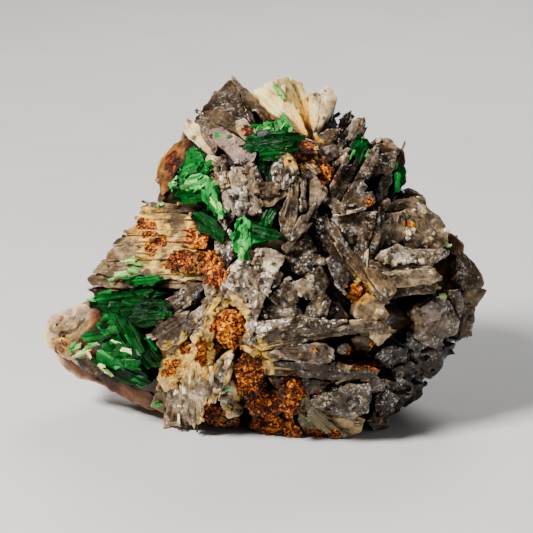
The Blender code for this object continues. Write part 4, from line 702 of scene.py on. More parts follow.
def bladeSurface(form, seed, grid=bladeGrid):
    # rows of rings: the front grows from the middle line (share 0) to the rim (share 1) on a leaning plane
    # with relief, then the side runs back with stepped layers, and both ends are closed by a fan
    spacing = grid["spacing"]
    finish = finishes[form["finish"]]
    tenth = sheet["tenth"]
    corners = orient(form["outline"])
    middle = corners.mean(axis=0)
    reach = np.linalg.norm(corners - middle, axis=1)
    corners = middle + (corners - middle) * (1 + finish["grow"] / reach)[:, None]
    line, normal = evenOutline(corners, spacing, finish["ragged"], seed)
    spine, along, side, halfWidth = spineOf(line, middle)
    count = len(line)

    # front
    slopeAcross, slopeAbove = (domeShape["follow"] * slope + lean for slope, lean
                               in zip(domeSlope(middle[0], middle[1]), form["lean"]))
    frontRows = int(np.clip(round(halfWidth / spacing), 4, 22))
    shares = (0.06 + 0.94 * (np.arange(frontRows) + 1) / frontRows)[:, None]
    x = spine[None, :, 0] + shares * (line - spine)[None, :, 0]
    y = spine[None, :, 1] + shares * (line - spine)[None, :, 1]
    far = (x - middle[0]) * along[0] + (y - middle[1]) * along[1]
    wide = (x - middle[0]) * side[0] + (y - middle[1]) * side[1]
    frontDepth = float(dome(middle[0], middle[1])) + form["lift"]
    frontDepth = frontDepth + tenth * (slopeAcross * (x - middle[0]) - slopeAbove * (y - middle[1]))
    bent = wide / 2.6 + 0.4 * softNoise(far / 9, wide / 9, seed)
    relief = finish["stripe"] * roughNoise(bent, far / 26, seed, 3)
    relief += finish["point"] * 1.8 * (pointedField(x / 6.2, y / 6.2, seed + 3) - 0.35)
    relief += finish["point"] * 0.3 * (pointedField(x / 1.9, y / 1.9, seed + 5) - 0.35)
    relief += finish["lump"] * 1.5 * (lumpField(x / 12, y / 12, seed + 7) - 0.4)
    relief += 0.05 * roughNoise(x / 9, y / 9, seed + 9, 3)
    relief += finish["lump"] * 1.2 * (1 - shares ** 2) * min(1.0, halfWidth / 10)
    relief -= grid["edgeDrop"] * np.clip((shares - 0.86) / 0.14, 0, 1) ** 2
    frontDepth = frontDepth + relief

    # side
    gather = domeShape["gather"] * tenth * (np.array(domeShape["middle"]) - middle)
    runAcross, runAbove, runDepth = form["run"] + np.array([gather[0], -gather[1], 0.0])
    length = abs(runDepth)
    steps = np.array([row for row in grid["sideRows"] if row < 0.92 * length] + [length])[:, None]
    t = steps / length
    turn = 2 * math.pi * np.arange(count) / count
    ring = count * spacing / (2 * math.pi)
    around = (ring * np.cos(turn) / 9 + 30)[None, :]
    beside = (ring * np.sin(turn) / 9 + 30)[None, :]
    level = steps / grid["layer"] + 0.8 * roughNoise(around, beside, seed + 11, 2)
    ledge = cellNumber(np.floor(level), np.floor(np.broadcast_to(around * 0.6, level.shape)), seed + 13)
    crumbs = roughNoise(around * 3 + 0 * level, steps * 1.4 + beside * 3, seed + 15, 2)
    proud = grid["layerStep"] * (ledge - 0.75) * np.clip(steps / 0.3, 0, 1)
    proud += 0.5 * crumbs * np.clip(steps / 0.5, 0, 1)
    narrow = 1 - (1 - form["taper"]) * t
    sideX = middle[0] + (line[:, 0] - middle[0]) * narrow + runAcross * t / tenth + normal[:, 0] * proud
    sideY = middle[1] + (line[:, 1] - middle[1]) * narrow - runAbove * t / tenth + normal[:, 1] * proud
    sideDepth = frontDepth[-1][None, :] - steps - 0.02

    # all rings, then the two closing points
    allX = np.vstack([x, sideX])
    allY = np.vstack([y, sideY])
    share = np.vstack([np.broadcast_to(shares, x.shape), np.ones_like(sideX)])
    sunk = np.vstack([np.zeros_like(x), np.broadcast_to(steps, sideX.shape)])
    farAll = (allX - middle[0]) * along[0] + (allY - middle[1]) * along[1]
    wideAll = (allX - middle[0]) * side[0] + (allY - middle[1]) * side[1]
    grain = np.stack([farAll.ravel() * tenth, wideAll.ravel() * tenth, sunk.ravel()], axis=-1)
    ends = [frontDepth[0].mean(), sideDepth[-1].mean()]
    part = {
        "x": np.append(allX, [spine[:, 0].mean(), sideX[-1].mean()]),
        "y": np.append(allY, [spine[:, 1].mean(), sideY[-1].mean()]),
        "depth": np.concatenate([frontDepth.ravel(), sideDepth.ravel(), ends]),
        "share": np.append(share, [0, 1]),
        "sunk": np.append(sunk, [0, length]),
        "grain": np.vstack([grain, [[0, 0, 0], [0, 0, length]]]) + grainShift(seed),
        "finish": form["finish"],
        "seed": seed,
        **ringFaces(len(allX), count),
    }
    part["points"] = place(part["x"], part["y"], part["depth"])
    return part


def grainShift(seed):
    # where a blade's streaks are read from, so that no two blades have the same
    return np.array([seed * 1.37 % 50, seed * 2.11 % 50, 0])


# body of the stone, hidden blades and small crystals

bodyGrid = {"spokes": 280, "frontRows": 36, "rimRows": 12, "backRows": 44, "rim": 0.94, "seed": 7, "under": 0.9}


def bodySurface():
    # rings about the dome's middle: the front rings follow the dome a little under it with its swells, the
    # rim rings go back from it, and the back rings follow the hidden dome, all with lumpy noise
    grid = bodyGrid
    middleX, middleY = domeShape["middle"]
    angle = 2 * math.pi * np.arange(grid["spokes"]) / grid["spokes"]
    reach = softened(rimRadius(angle))
    shares = np.concatenate([np.linspace(0.03, grid["rim"], grid["frontRows"]),
                             np.full(grid["rimRows"], grid["rim"]),
                             np.linspace(grid["rim"], 0.03, grid["backRows"])])[:, None]
    mix = np.concatenate([np.zeros(grid["frontRows"]), np.linspace(0, 1, grid["rimRows"] + 2)[1:-1],
                          np.ones(grid["backRows"])])[:, None]
    bulge = np.sin(np.pi * mix)
    around = reach * angle / 9 + 0 * mix
    upDown = 5 * mix + 0 * around
    shares = shares + bulge * 0.035 * roughNoise(around, upDown, 35, 3)
    shares = shares + bulge * 0.03 * (lumpField(around, upDown, 37) - 0.3)
    x = middleX + shares * reach * np.cos(angle)
    y = middleY - shares * reach * np.sin(angle)
    rise = np.zeros_like(x)
    for (swellX, swellY), (wide, high), height in swells.values():
        rise += height * np.exp(-(((x - swellX) / wide) ** 2) - ((y - swellY) / high) ** 2)
    wobble = 0.26 * roughNoise(x / 16, y / 16, grid["seed"], 3) + 0.22 * (lumpField(x / 9, y / 9, 31) - 0.4)
    wobble += 0.12 * (pointedField(x / 5, y / 5, 33) - 0.35)
    front = dome(x, y) - grid["under"] + rise + wobble
    back = backDome(x, y) + 2.4 * wobble
    points = place(x, y, front * (1 - mix) + back * mix)
    points = np.vstack([points.reshape(-1, 3), points[0].mean(axis=0), points[-1].mean(axis=0)])
    return {"points": points, "grain": points, "finish": "ground", "seed": 3, **ringFaces(*x.shape)}


# The hidden blades follow one rule: seats on a golden-angle spiral over the back, sizes in millimetres.
hiddenBlades = {
    "count": 28,
    "length": (8.0, 15.0),
    "breadth": (6.0, 9.5),
    "thickness": (1.0, 2.6),
    "turn": 2.39996,
    "seed": 41,
    "spacing": 4.2,
    "corners": ((0.25, 1.0), (1.15, 0.95), (2.0, 1.0), (2.9, 0.9), (3.7, 0.95), (5.2, 1.0)),
    "finishes": ("grey", "paleGrey", "slab", "beige", "brown", "ledge", "grey", "columns"),
}


def freeSurface(corners, seat, along, rise, normal, thickness, finishName, seed):
    # a slab about a flat outline: rings from the middle line to the rim on one face, stepped layers over the
    # edge, and rings back to the middle line on the other face; relief stands along the slab's normal
    spacing = hiddenBlades["spacing"]
    finish = finishes[finishName]
    tenth = sheet["tenth"]
    line, outward = evenOutline(orient(corners), spacing, 1.1, seed)
    spine, longAxis, shortAxis, halfWidth = spineOf(line, corners.mean(axis=0))
    faceRows = int(np.clip(round(halfWidth / spacing), 4, 16))
    shares = 0.06 + 0.94 * (np.arange(faceRows) + 1) / faceRows
    edgeRows = int(max(3, round(thickness / 0.22)))
    edge = np.linspace(0, 1, edgeRows + 2)[1:-1]
    share = np.concatenate([shares, np.ones(edgeRows), shares[::-1]])[:, None]
    side = np.concatenate([np.ones(faceRows), 1 - 2 * edge, -np.ones(faceRows)])[:, None]
    x = spine[None, :, 0] + share * (line - spine)[None, :, 0]
    y = spine[None, :, 1] + share * (line - spine)[None, :, 1]
    far = x * longAxis[0] + y * longAxis[1]
    wide = x * shortAxis[0] + y * shortAxis[1]
    shift = 40 * (side < 0)
    relief = finish["stripe"] * roughNoise(wide / 3.4 + shift, far / 30, seed, 3)
    relief += finish["point"] * 1.6 * (pointedField(x / 5 + shift, y / 5, seed + 3) - 0.35)
    relief += finish["lump"] * 1.6 * (lumpField(x / 10 + shift, y / 10, seed + 7) - 0.4)
    relief += 0.12 * roughNoise(x / 22 + shift, y / 22, seed + 9, 4)
    relief -= 0.12 * np.clip((share - 0.86) / 0.14, 0, 1) ** 2
    onEdge = np.abs(side) < 0.999
    level = np.floor((1 - side) * 0.5 * thickness / 0.3 + 0.5 * softNoise(far / 12, wide / 12, seed + 11))
    proud = np.where(onEdge, 2.2 * (cellNumber(level, np.floor(far / 14), seed + 13) - 0.6), 0.0)
    x = x + outward[None, :, 0] * proud
    y = y + outward[None, :, 1] * proud
    high = side * (0.5 * thickness + np.where(onEdge, 0.0, relief))
    points = seat + tenth * x[..., None] * along + tenth * y[..., None] * rise + high[..., None] * normal
    grain = np.stack([far.ravel() * tenth, wide.ravel() * tenth, high.ravel()], axis=-1)
    return {
        "points": np.vstack([points.reshape(-1, 3), points[0].mean(axis=0), points[-1].mean(axis=0)]),
        "share": np.append(np.broadcast_to(share, x.shape), [0, 0]),
        "grain": np.vstack([grain, np.zeros((2, 3))]) + np.array([seed * 1.7 % 50, seed * 2.3 % 50, 0]),
        "finish": finishName, "seed": seed, **ringFaces(*x.shape),
    }


def backSeat(x, y):
    # the place of a sheet point on the hidden dome, and the way out of the stone there
    seat = place(x, y, backDome(x, y))
    return seat, unit((seat - np.array([0.0, 2.0, sheet["seat"][2]])) * np.array([1.0, 1.0, 0.8]))


def hiddenSurfaces():
    # slabs that stand on the back of the body, in three families of directions
    rule = hiddenBlades
    rough = np.random.default_rng(rule["seed"])
    middleX, middleY = domeShape["middle"]
    found = []
    for i in range(rule["count"]):
        angle = i * rule["turn"]
        reach = float(rimRadius(math.atan2(math.sin(angle), math.cos(angle))))
        reach = reach * (0.04 + 0.80 * math.sqrt((i + 0.5) / rule["count"]))
        x = np.array(middleX + reach * math.cos(angle))
        y = np.array(middleY - reach * math.sin(angle))
        seat, outward = backSeat(x, y)
        family = (i % 3) * math.radians(62) + rough.normal(0, 0.25)
        aside = np.array(Vector(outward).orthogonal().normalized())
        aside = aside * math.cos(family) + np.cross(outward, aside) * math.sin(family)
        normal = unit(aside + outward * rough.uniform(-0.2, 1.5))
        along = unit(np.cross(normal, outward))
        rise = unit(np.cross(along, normal))
        length = rough.uniform(*rule["length"])
        breadth = rough.uniform(*rule["breadth"])
        thickness = rough.uniform(*rule["thickness"])
        seat = seat + outward * (0.9 - 0.42 * breadth)
        corners = []
        for turn, stretch in rule["corners"]:
            turn += rough.normal(0, 0.12)
            across = 5 * length * math.cos(turn) * stretch
            corners.append((across, 5 * breadth * math.sin(turn) * stretch * 1.15))
        finishName = rule["finishes"][i % len(rule["finishes"])]
        found.append(freeSurface(np.array(corners), seat, along, rise, normal, thickness, finishName, 700 + i))
    return found


# Small quartz crystals: their sizes in millimetres and how far they lean.
crystalRule = {"radius": (0.12, 0.36), "length": (0.3, 0.8), "tilt": 0.55}


def crystalsOn(part, number, seed):
    # one six-sided prism with a six-sided point on each of some random points of a blade's front: rings at
    # the foot and the shoulder and one point at the tip, whole arrays over all seats at once; they share the
    # blade's colour
    rough = np.random.default_rng(seed)
    shape = np.random.default_rng(seed)
    onFront = np.flatnonzero((part["sunk"] < 0.01) & (part["share"] > 0.02) & (part["share"] < 0.98))
    seats = part["points"][rough.choice(onFront, number)]
    radius = shape.uniform(*crystalRule["radius"], number)
    length = shape.uniform(*crystalRule["length"], number)
    axis = unit(nearer + shape.normal(0, crystalRule["tilt"], (number, 3)))
    helper = np.where(np.abs(axis[:, 2:3]) < 0.9, [[0.0, 0.0, 1.0]], [[1.0, 0.0, 0.0]])
    first = unit(np.cross(axis, helper))
    second = np.cross(axis, first)
    turn = shape.uniform(0, math.pi, number)[:, None] + np.arange(6)[None, :] * math.pi / 3
    uneven = 1 + 0.18 * shape.normal(0, 1, (number, 6))
    spoke = (np.cos(turn) * uneven)[..., None] * first[:, None]
    spoke = radius[:, None, None] * (spoke + (np.sin(turn) * uneven)[..., None] * second[:, None])
    rise = (length[:, None] * axis)[:, None]
    foot = seats[:, None] + spoke - 0.25 * rise
    shoulder = seats[:, None] + 0.92 * spoke + 0.6 * rise
    tip = seats + axis * (0.6 * length + 1.1 * radius)[:, None]
    points = np.concatenate([foot, shoulder, tip[:, None]], axis=1).reshape(-1, 3)
    base = 13 * np.arange(number)[:, None, None]
    k = np.arange(6)
    n = (k + 1) % 6
    tips = (base + np.stack([k + 6, n + 6, np.full(6, 12)], axis=-1)).reshape(-1, 3)
    feet = (base + np.array([[0, 2, 1], [0, 3, 2], [0, 4, 3], [0, 5, 4]])).reshape(-1, 3)
    tone = finishes[part["finish"]]["tone"] + np.repeat(rough.normal(0.03, 0.11, number), 13)
    return {
        "points": points, "quads": (base + np.stack([k, n, n + 6, k + 6], axis=-1)).reshape(-1, 4),
        "triangles": np.vstack([tips, feet]), "grain": points, "finish": part["finish"], "seed": seed,
        "tone": tone, "glassy": 0.9,
    }


# Slivers: thin blades a few millimetres long that lie on the big ones and fill the gaps between them. Their
# length, width and thickness in millimetres, and the finishes whose slivers are stubby.
sliverSizes = {
    "thin": ((0.6, 2.3), (0.2, 0.7), (0.13, 0.28)),
    "stubby": ((0.25, 0.9), (0.2, 0.8), (0.16, 0.5)),
    "large": ((2.0, 6.5), (0.8, 2.4), (0.3, 1.0)),
    "leaf": ((0.5, 1.9), (0.25, 0.75), (0.05, 0.12)),
}
sliverRule = {
    "stubby": ("knob", "knobby", "cheek", "rusty", "druse", "darkDruse", "mauve", "lobe", "cream", "halo",
               "beige", "shade"),
    "turn": 0.20,
    "lift": 0.22,
    "onSides": {"thin": 0.7, "stubby": 0.4},
    "toneSpread": 0.18,
}
rodCorners = np.array([(1, 0), (0.55, 1), (-0.55, 1), (-1, 0), (-0.55, -1), (0.55, -1)]) * 0.5
rodPoints = 18


def slivers(seats, along, upright, rough, sizes, finish, seed):
    # a flattened six-sided rod on every seat: three rings along its axis and a slanting end, whole arrays at
    # once
    count = len(seats)
    length, width, thickness = (rough.uniform(*limits, count) for limits in sizes)
    width = np.maximum(width, 0.22 * length)
    along = unit(along)
    side = unit(np.cross(upright, along))
    thin = np.cross(along, side)
    roll = rough.normal(0, 0.7, count)[:, None]
    side, thin = side * np.cos(roll) + thin * np.sin(roll), thin * np.cos(roll) - side * np.sin(roll)
    slant = rough.uniform(-0.6, 0.6, count)
    across = rodCorners[None, :, 0:1] * (width[:, None] * side)[:, None]
    across = across + rodCorners[None, :, 1:2] * (thickness[:, None] * thin)[:, None]
    rings = []
    for at, scale, slide in ((-0.5, 0.85, 0.0), (0.32, 1.0, 0.0), (0.5, 0.25, 1.0)):
        middle = seats + along * (at * length)[:, None] + side * (slide * slant * width)[:, None]
        rings.append(middle[:, None] + scale * across)
    base = rodPoints * np.arange(count)[:, None, None]
    k = np.arange(6)
    n = (k + 1) % 6
    bands = [np.stack([k + 6 * r, n + 6 * r, n + 6 * r + 6, k + 6 * r + 6], axis=-1) for r in (0, 1)]
    ends = [[0, 2, 1], [0, 3, 2], [0, 4, 3], [0, 5, 4], [12, 13, 14], [12, 14, 15], [12, 15, 16], [12, 16, 17]]
    grain = np.stack([np.tile(np.repeat([0.0, 1.2, 1.5], 6), count), np.tile(np.tile(k * 0.1, 3), count),
                      np.repeat(rough.uniform(0, 40, count), rodPoints)], axis=-1)
    return {
        "points": np.concatenate(rings, axis=1).reshape(-1, 3),
        "quads": (base + np.concatenate(bands)).reshape(-1, 4),
        "triangles": (base + np.array(ends)).reshape(-1, 3), "grain": grain, "finish": finish, "seed": seed,
    }


def sheetAngles(outline, turn, number, rough):
    # turns on the sheet near an outline's long axis, one way or the other
    offsets = outline - outline.mean(axis=0)
    axis = np.linalg.eigh(offsets.T @ offsets)[1][:, 1]
    angle = math.atan2(-axis[1], axis[0]) + rough.normal(0, turn, number)
    return (angle + math.pi * (rough.random(number) < 0.5))[:, None]


def sliversOn(part, form, number, seed):
    # slivers on random points of a blade: on its front they lie along its long axis, on its sides they point
    # out of the stone; each has a lightness of its own
    rough = np.random.default_rng(seed)
    rule = sliverRule
    kind = "stubby" if form["finish"] in rule["stubby"] else "thin"
    onFront = np.flatnonzero((part["sunk"] < 0.01) & (part["share"] > 0.05))
    onSide = np.flatnonzero((part["sunk"] > 0.1) & (part["sunk"] < 2.2))
    fromSide = rough.random(number) < rule["onSides"][kind]
    chosen = np.where(fromSide, rough.choice(onSide, number), rough.choice(onFront, number))
    seats = part["points"][chosen] + rough.normal(0, 0.03, (number, 3))
    angle = sheetAngles(form["outline"], rule["turn"], number, rough)
    rise = rough.normal(0, rule["lift"], number) + np.where(fromSide, rough.uniform(0.2, 1.1, number), 0.0)
    along = np.cos(angle) * rightward + np.sin(angle) * upward + rise[:, None] * nearer
    upright = nearer + rough.normal(0, 0.1, along.shape)
    made = slivers(seats, along, upright, rough, sliverSizes[kind], form["finish"], seed)
    tone = finishes[form["finish"]]["tone"] + rough.normal(0.03, rule["toneSpread"], number)
    made["tone"] = np.repeat(tone, rodPoints)
    made["glassy"] = np.repeat(np.clip(rough.normal(0.6, 0.3, number), 0, 1), rodPoints)
    return made


backSliverRule = {"numbers": {"large": 420, "thin": 1050}, "patch": 7.0, "turn": 1.05, "seed": 77, "rim": 0.86}


def backSlivers():
    # blades of all sizes on the hidden side: seats at random on the back of the body, pointing along one of
    # three families that change from patch to patch, and a little outwards
    rule = backSliverRule
    rough = np.random.default_rng(rule["seed"])
    parts = []
    middleX, middleY = domeShape["middle"]
    for kind, number in rule["numbers"].items():
        angle = rough.uniform(0, 2 * math.pi, number)
        share = rule["rim"] * np.sqrt(rough.random(number))
        reach = rimRadius(np.arctan2(np.sin(angle), np.cos(angle))) * share
        x = middleX + reach * np.cos(angle)
        y = middleY - reach * np.sin(angle)
        seats, outward = backSeat(x, y)
        patch = cellNumber(np.floor(x / 10 / rule["patch"] + 9), np.floor(y / 10 / rule["patch"] + 9), 5)
        family = np.floor(3 * cellNumber(np.floor(x / 11), np.floor(y / 13), 6)) - 1
        turn = (patch * math.pi + family * rule["turn"] + rough.normal(0, 0.16, number))[:, None]
        aside = unit(np.cross(outward, [0.0, 0.0, 1.0]))
        along = np.cos(turn) * aside + np.sin(turn) * np.cross(outward, aside)
        along = unit(along + rough.uniform(0.05, 0.5, number)[:, None] * outward)
        upright = outward + 0.9 * rough.normal(0, 1, (number, 1)) * np.cross(outward, along)
        made = slivers(seats, along, upright, rough, sliverSizes[kind], "grey", 31)
        made["tone"] = 0.46 + np.repeat(rough.normal(0.0, 0.15, number), rodPoints)
        made["warm"] = np.repeat(np.clip(rough.normal(0.45, 0.25, number), 0, 1), rodPoints)
        parts.append(made)
    return parts


# plates

def plateSurface(form, seed):
    # a finely cut blade whose front is broken into sheets along its long axis: each sheet has its own height
    # and its own shade of green, and so has each layer of its side
    kind = plateKinds[form["finish"]]
    part = bladeSurface(form, seed, plateGrid)
    along, across = (part["grain"] - grainShift(seed))[:, :2].T / sheet["tenth"]
    sheetNumber = np.floor(across / kind["sheet"] + 0.35 * softNoise(along / 14, across / 6, seed + 21))
    ones = np.ones_like(sheetNumber)
    front = part["sunk"] < 0.01
    step = cellNumber(sheetNumber, 0 * ones, seed + 23) - 0.5
    part["depth"] = part["depth"] + np.where(front, kind["relief"] * step, 0.0)
    part["points"] = place(part["x"], part["y"], part["depth"])
    shade = cellNumber(sheetNumber, ones, seed + 29) - 0.5
    layer = cellNumber(np.floor(part["sunk"] / plateGrid["layer"]), 2 * ones, seed + 31) - 0.5
    tone = form["tone"] + np.where(front, 0.30, 0.10) * shade + np.where(front, 0.0, 0.25) * layer
    tone = tone + 0.07 * roughNoise(part["x"] / 6, part["y"] / 6, seed + 33, 3)
    if form["tip"]:
        (tipX, tipY), reach, paler = form["tip"]
        tone = tone + paler * np.clip(1 - np.hypot(part["x"] - tipX, part["y"] - tipY) / reach, 0, 1)
    # painted shade: the sides are darker the deeper they sink
    part["tone"] = tone - 0.12 * np.clip(part["sunk"] / 2.0, 0, 1)
    return part


def leafletsOn(part, form, number, seed):
    # small pointed leaves on a plate's front and edges, lying near its long axis, each a green of its own
    rough = np.random.default_rng(seed)
    near = np.flatnonzero((part["sunk"] < 1.4) & (part["share"] > 0.15))
    seats = part["points"][rough.choice(near, number)]
    angle = sheetAngles(form["outline"], plateKinds[form["finish"]]["turn"], number, rough)
    along = np.cos(angle) * rightward + np.sin(angle) * upward
    along = along + rough.normal(0.12, 0.22, number)[:, None] * nearer
    upright = nearer + rough.normal(0, 0.35, along.shape)
    made = slivers(seats, along, upright, rough, sliverSizes["leaf"], form["finish"], seed)
    tone = np.repeat(rough.normal(0.0, 0.16, number), rodPoints)
    made["tone"] = form["tone"] + tone + 0.1 * (made["grain"][:, 0] > 1.3)
    return made


# Loose small plates of torbernite on the sheet: middle, turn in degrees, length and width in sheet units,
# tone.
flakes = {
    "ledgePaleA": ((122, 275), 14, 16, 8, 0.92),
    "ledgePaleB": ((133, 270), -10, 13, 7, 0.85),
    "ledgePaleC": ((131, 261), 8, 15, 6, 0.95),
    "ledgePaleD": ((139, 264), -14, 10, 5, 0.8),
    "ledgeMint": ((113, 279), 20, 9, 5, 0.8),
    "ledgeHigh": ((160, 203), 30, 8, 7, 0.9),
    "ledgeGreen": ((128, 278), 5, 12, 4, 0.45),
    "fanMint": ((280, 92), -62, 14, 9, 0.88),
    "slabTeal": ((352, 154), 70, 12, 4, 0.62),
    "slabDark": ((360, 144), 50, 11, 5, 0.25),
    "slabLight": ((367, 153), 62, 11, 3, 0.7),
    "rimDark": ((337, 115), 20, 10, 6, 0.3),
    "edgeGreen": ((398, 178), 85, 22, 6, 0.5),
    "skirtMint": ((159, 404), 10, 11, 8, 0.8),
    "skirtTeal": ((226, 389), 15, 9, 4, 0.62),
    "browFaint": ((218, 135), -20, 11, 5, 0.72),
    "browGreen": ((228, 137), 15, 7, 4, 0.6),
    "cheekMint": ((449, 246), 20, 6, 5, 0.95),
    # rimGlint is a pale flake that stands for a painted glint
    "rimGlint": ((443, 296), 10, 8, 7, 1.05),
    "lobeLimeA": ((84, 352), 24, 22, 6, 0.95),
    "lobeLimeB": ((74, 347), 30, 16, 6, 0.8),
    "lobeLimeC": ((93, 344), 15, 14, 5, 0.85),
    "bookLimeA": ((107, 371), -35, 14, 6, 1.0),
    "bookLimeB": ((101, 366), -30, 9, 5, 1.05),
    # glintA and glintB are pale flakes that stand for painted glints
    "glintA": ((116, 342), -20, 9, 5, 1.15),
    "glintB": ((128, 350), -15, 11, 6, 1.15),
    "wingWhite": ((214, 204), -60, 11, 4, 1.1),
    "plateTip": ((92, 300), -10, 11, 4, 0.8),
}


def flakeSurfaces(everyPoint):
    # a few small leaves for each, seated just proud of whatever is nearest the eye around the middle
    x, y, depth = sheetPoint(everyPoint)
    rough = np.random.default_rng(19)
    parts = []
    for (middleX, middleY), turn, length, width, tone in flakes.values():
        near = (np.abs(x - middleX) < 0.4 * length) & (np.abs(y - middleY) < 0.4 * width + 1)
        seatDepth = np.percentile(depth[near], 97) if near.any() else float(dome(middleX, middleY))
        seat = place(np.array(float(middleX)), np.array(float(middleY)), np.array(seatDepth + 0.1))
        number = 2 + int(length * width / 30)
        angle = math.radians(turn)
        aside = math.cos(angle) * rightward + math.sin(angle) * upward
        across = math.cos(angle) * upward - math.sin(angle) * rightward
        reach = 0.5 * sheet["tenth"] * np.array([length, width])
        offsets = rough.uniform(-0.5, 0.5, (number, 2)) * reach
        seats = seat + offsets[:, 0:1] * aside + offsets[:, 1:2] * across
        turns = rough.normal(0, 0.14, (number, 1))
        along = np.cos(turns) * aside + np.sin(turns) * across + rough.normal(0.1, 0.15, (number, 1)) * nearer
        upright = nearer + rough.normal(0, 0.3, (number, 3))
        sizes = ((1.1 * reach[0], 1.8 * reach[0]), (0.9 * reach[1], 1.5 * reach[1]), (0.08, 0.16))
        made = slivers(seats, along, upright, rough, sizes, "leaf", 40)
        made["tone"] = tone + np.repeat(rough.uniform(-0.15, 0.08, number), rodPoints)
        parts.append(made)
    return parts


# joining and colouring

# What a surface's finish marks it as, for the colours.
finishMarks = {"ground": ("ground",), "rusty": ("rusty",), "haloed": ("halo",), "olive": ("olive",),
               "pink": ("mauve", "lobe")}


def signedVolume(part):
    # six times the volume inside a closed surface: each triangle's corners as one box product, from the
    # middle; it comes out negative where the faces look inwards
    points = part["points"] - part["points"].mean(axis=0)
    quads = part["quads"]
    first, second, third = points[np.vstack([quads[:, [0, 1, 2]], quads[:, [0, 2, 3]], part["triangles"]]).T]
    return np.sum(first * np.cross(second, third))


def joined(parts):
    # several surfaces as one, all faces looking outwards: points and values stacked, face numbers moved up
    # past the points before them; what a surface doesn't say of itself comes from its finish
    whole = {}
    offset = 0
    for part in parts:
        way = 1 if signedVolume(part) > 0 else -1
        finish = finishes.get(part["finish"], {})
        look = {name: finish.get(name, 0.3) for name in ("tone", "warm", "glassy")}
        drift = np.random.default_rng(part["seed"]).uniform(-0.06, 0.06)
        values = {**look, "tone": look["tone"] + drift, "share": 0.0, "sunk": 0.0}
        values.update({mark: float(part["finish"] in names) for mark, names in finishMarks.items()})
        count = len(part["points"])
        rows = {name: np.broadcast_to(part.get(name, value), count) for name, value in values.items()}
        rows.update({name: part[name][:, ::way] + offset for name in ("quads", "triangles")})
        rows.update({name: part[name] for name in ("points", "grain")})
        for name, value in rows.items():
            whole.setdefault(name, []).append(value)
        offset += count
    return {name: np.concatenate(values) for name, values in whole.items()}


def boxBlur(values, radius):
    # a running mean along both directions, from differences of running sums
    for axis in (0, 1):
        padded = np.pad(values, [(radius + 1, radius) if a == axis else (0, 0) for a in (0, 1)], mode="edge")
        total = np.cumsum(padded, axis=axis)
        size = values.shape[axis]
        upper = np.take(total, np.arange(2 * radius + 1, 2 * radius + 1 + size), axis=axis)
        values = (upper - np.take(total, np.arange(0, size), axis=axis)) / (2 * radius + 1)
    return values


mapSize = 540


def mapCells(points):
    # the row and column of the maps that each point falls in, and its depth
    x, y, depth = sheetPoint(points)
    column, row = (np.clip(np.round(value).astype(int), 1, mapSize - 2) for value in (x, y))
    return row, column, depth


def depthMaps(points):
    # for each unit of the sheet, the nearest and the farthest depth of any point there, spread by two units,
    # as three blurred surfaces each
    row, column, depth = mapCells(points)
    empty = -99.0
    maps = []
    for sign in (1, -1):
        best = np.full((mapSize, mapSize), empty)
        np.maximum.at(best, (row, column), sign * depth)
        for _ in range(2):
            grown = best.copy()
            for steps in ((0, 1), (0, -1), (1, 0), (-1, 0)):
                grown = np.maximum(grown, np.roll(best, steps, axis=(0, 1)))
            best = np.where(best > empty + 9, best, grown)
        known = (best > empty + 9).astype(float)
        filled = np.where(known > 0, best, 0)
        maps.append([boxBlur(boxBlur(filled, radius), radius)
                     / np.maximum(boxBlur(boxBlur(known, radius), radius), 0.02) for radius in (4, 10, 22)])
    return maps


def cavityOf(points, maps):
    # how far a point lies under the mean surface around it, seen from the nearer of the two sides: 0 open, 1
    # deep
    row, column, depth = mapCells(points)
    shade = []
    for sign, blurred in zip((1, -1), maps):
        small, middle, wide = (np.clip((surface[row, column] - sign * depth - start) / reach, 0, 1) for
                               surface, start, reach in zip(blurred, (0.15, 0.45, 1.1), (1.3, 1.8, 2.4)))
        shade.append(1 - (1 - small) * (1 - middle) * (1 - 0.8 * wide))
    return np.minimum(shade[0], shade[1])


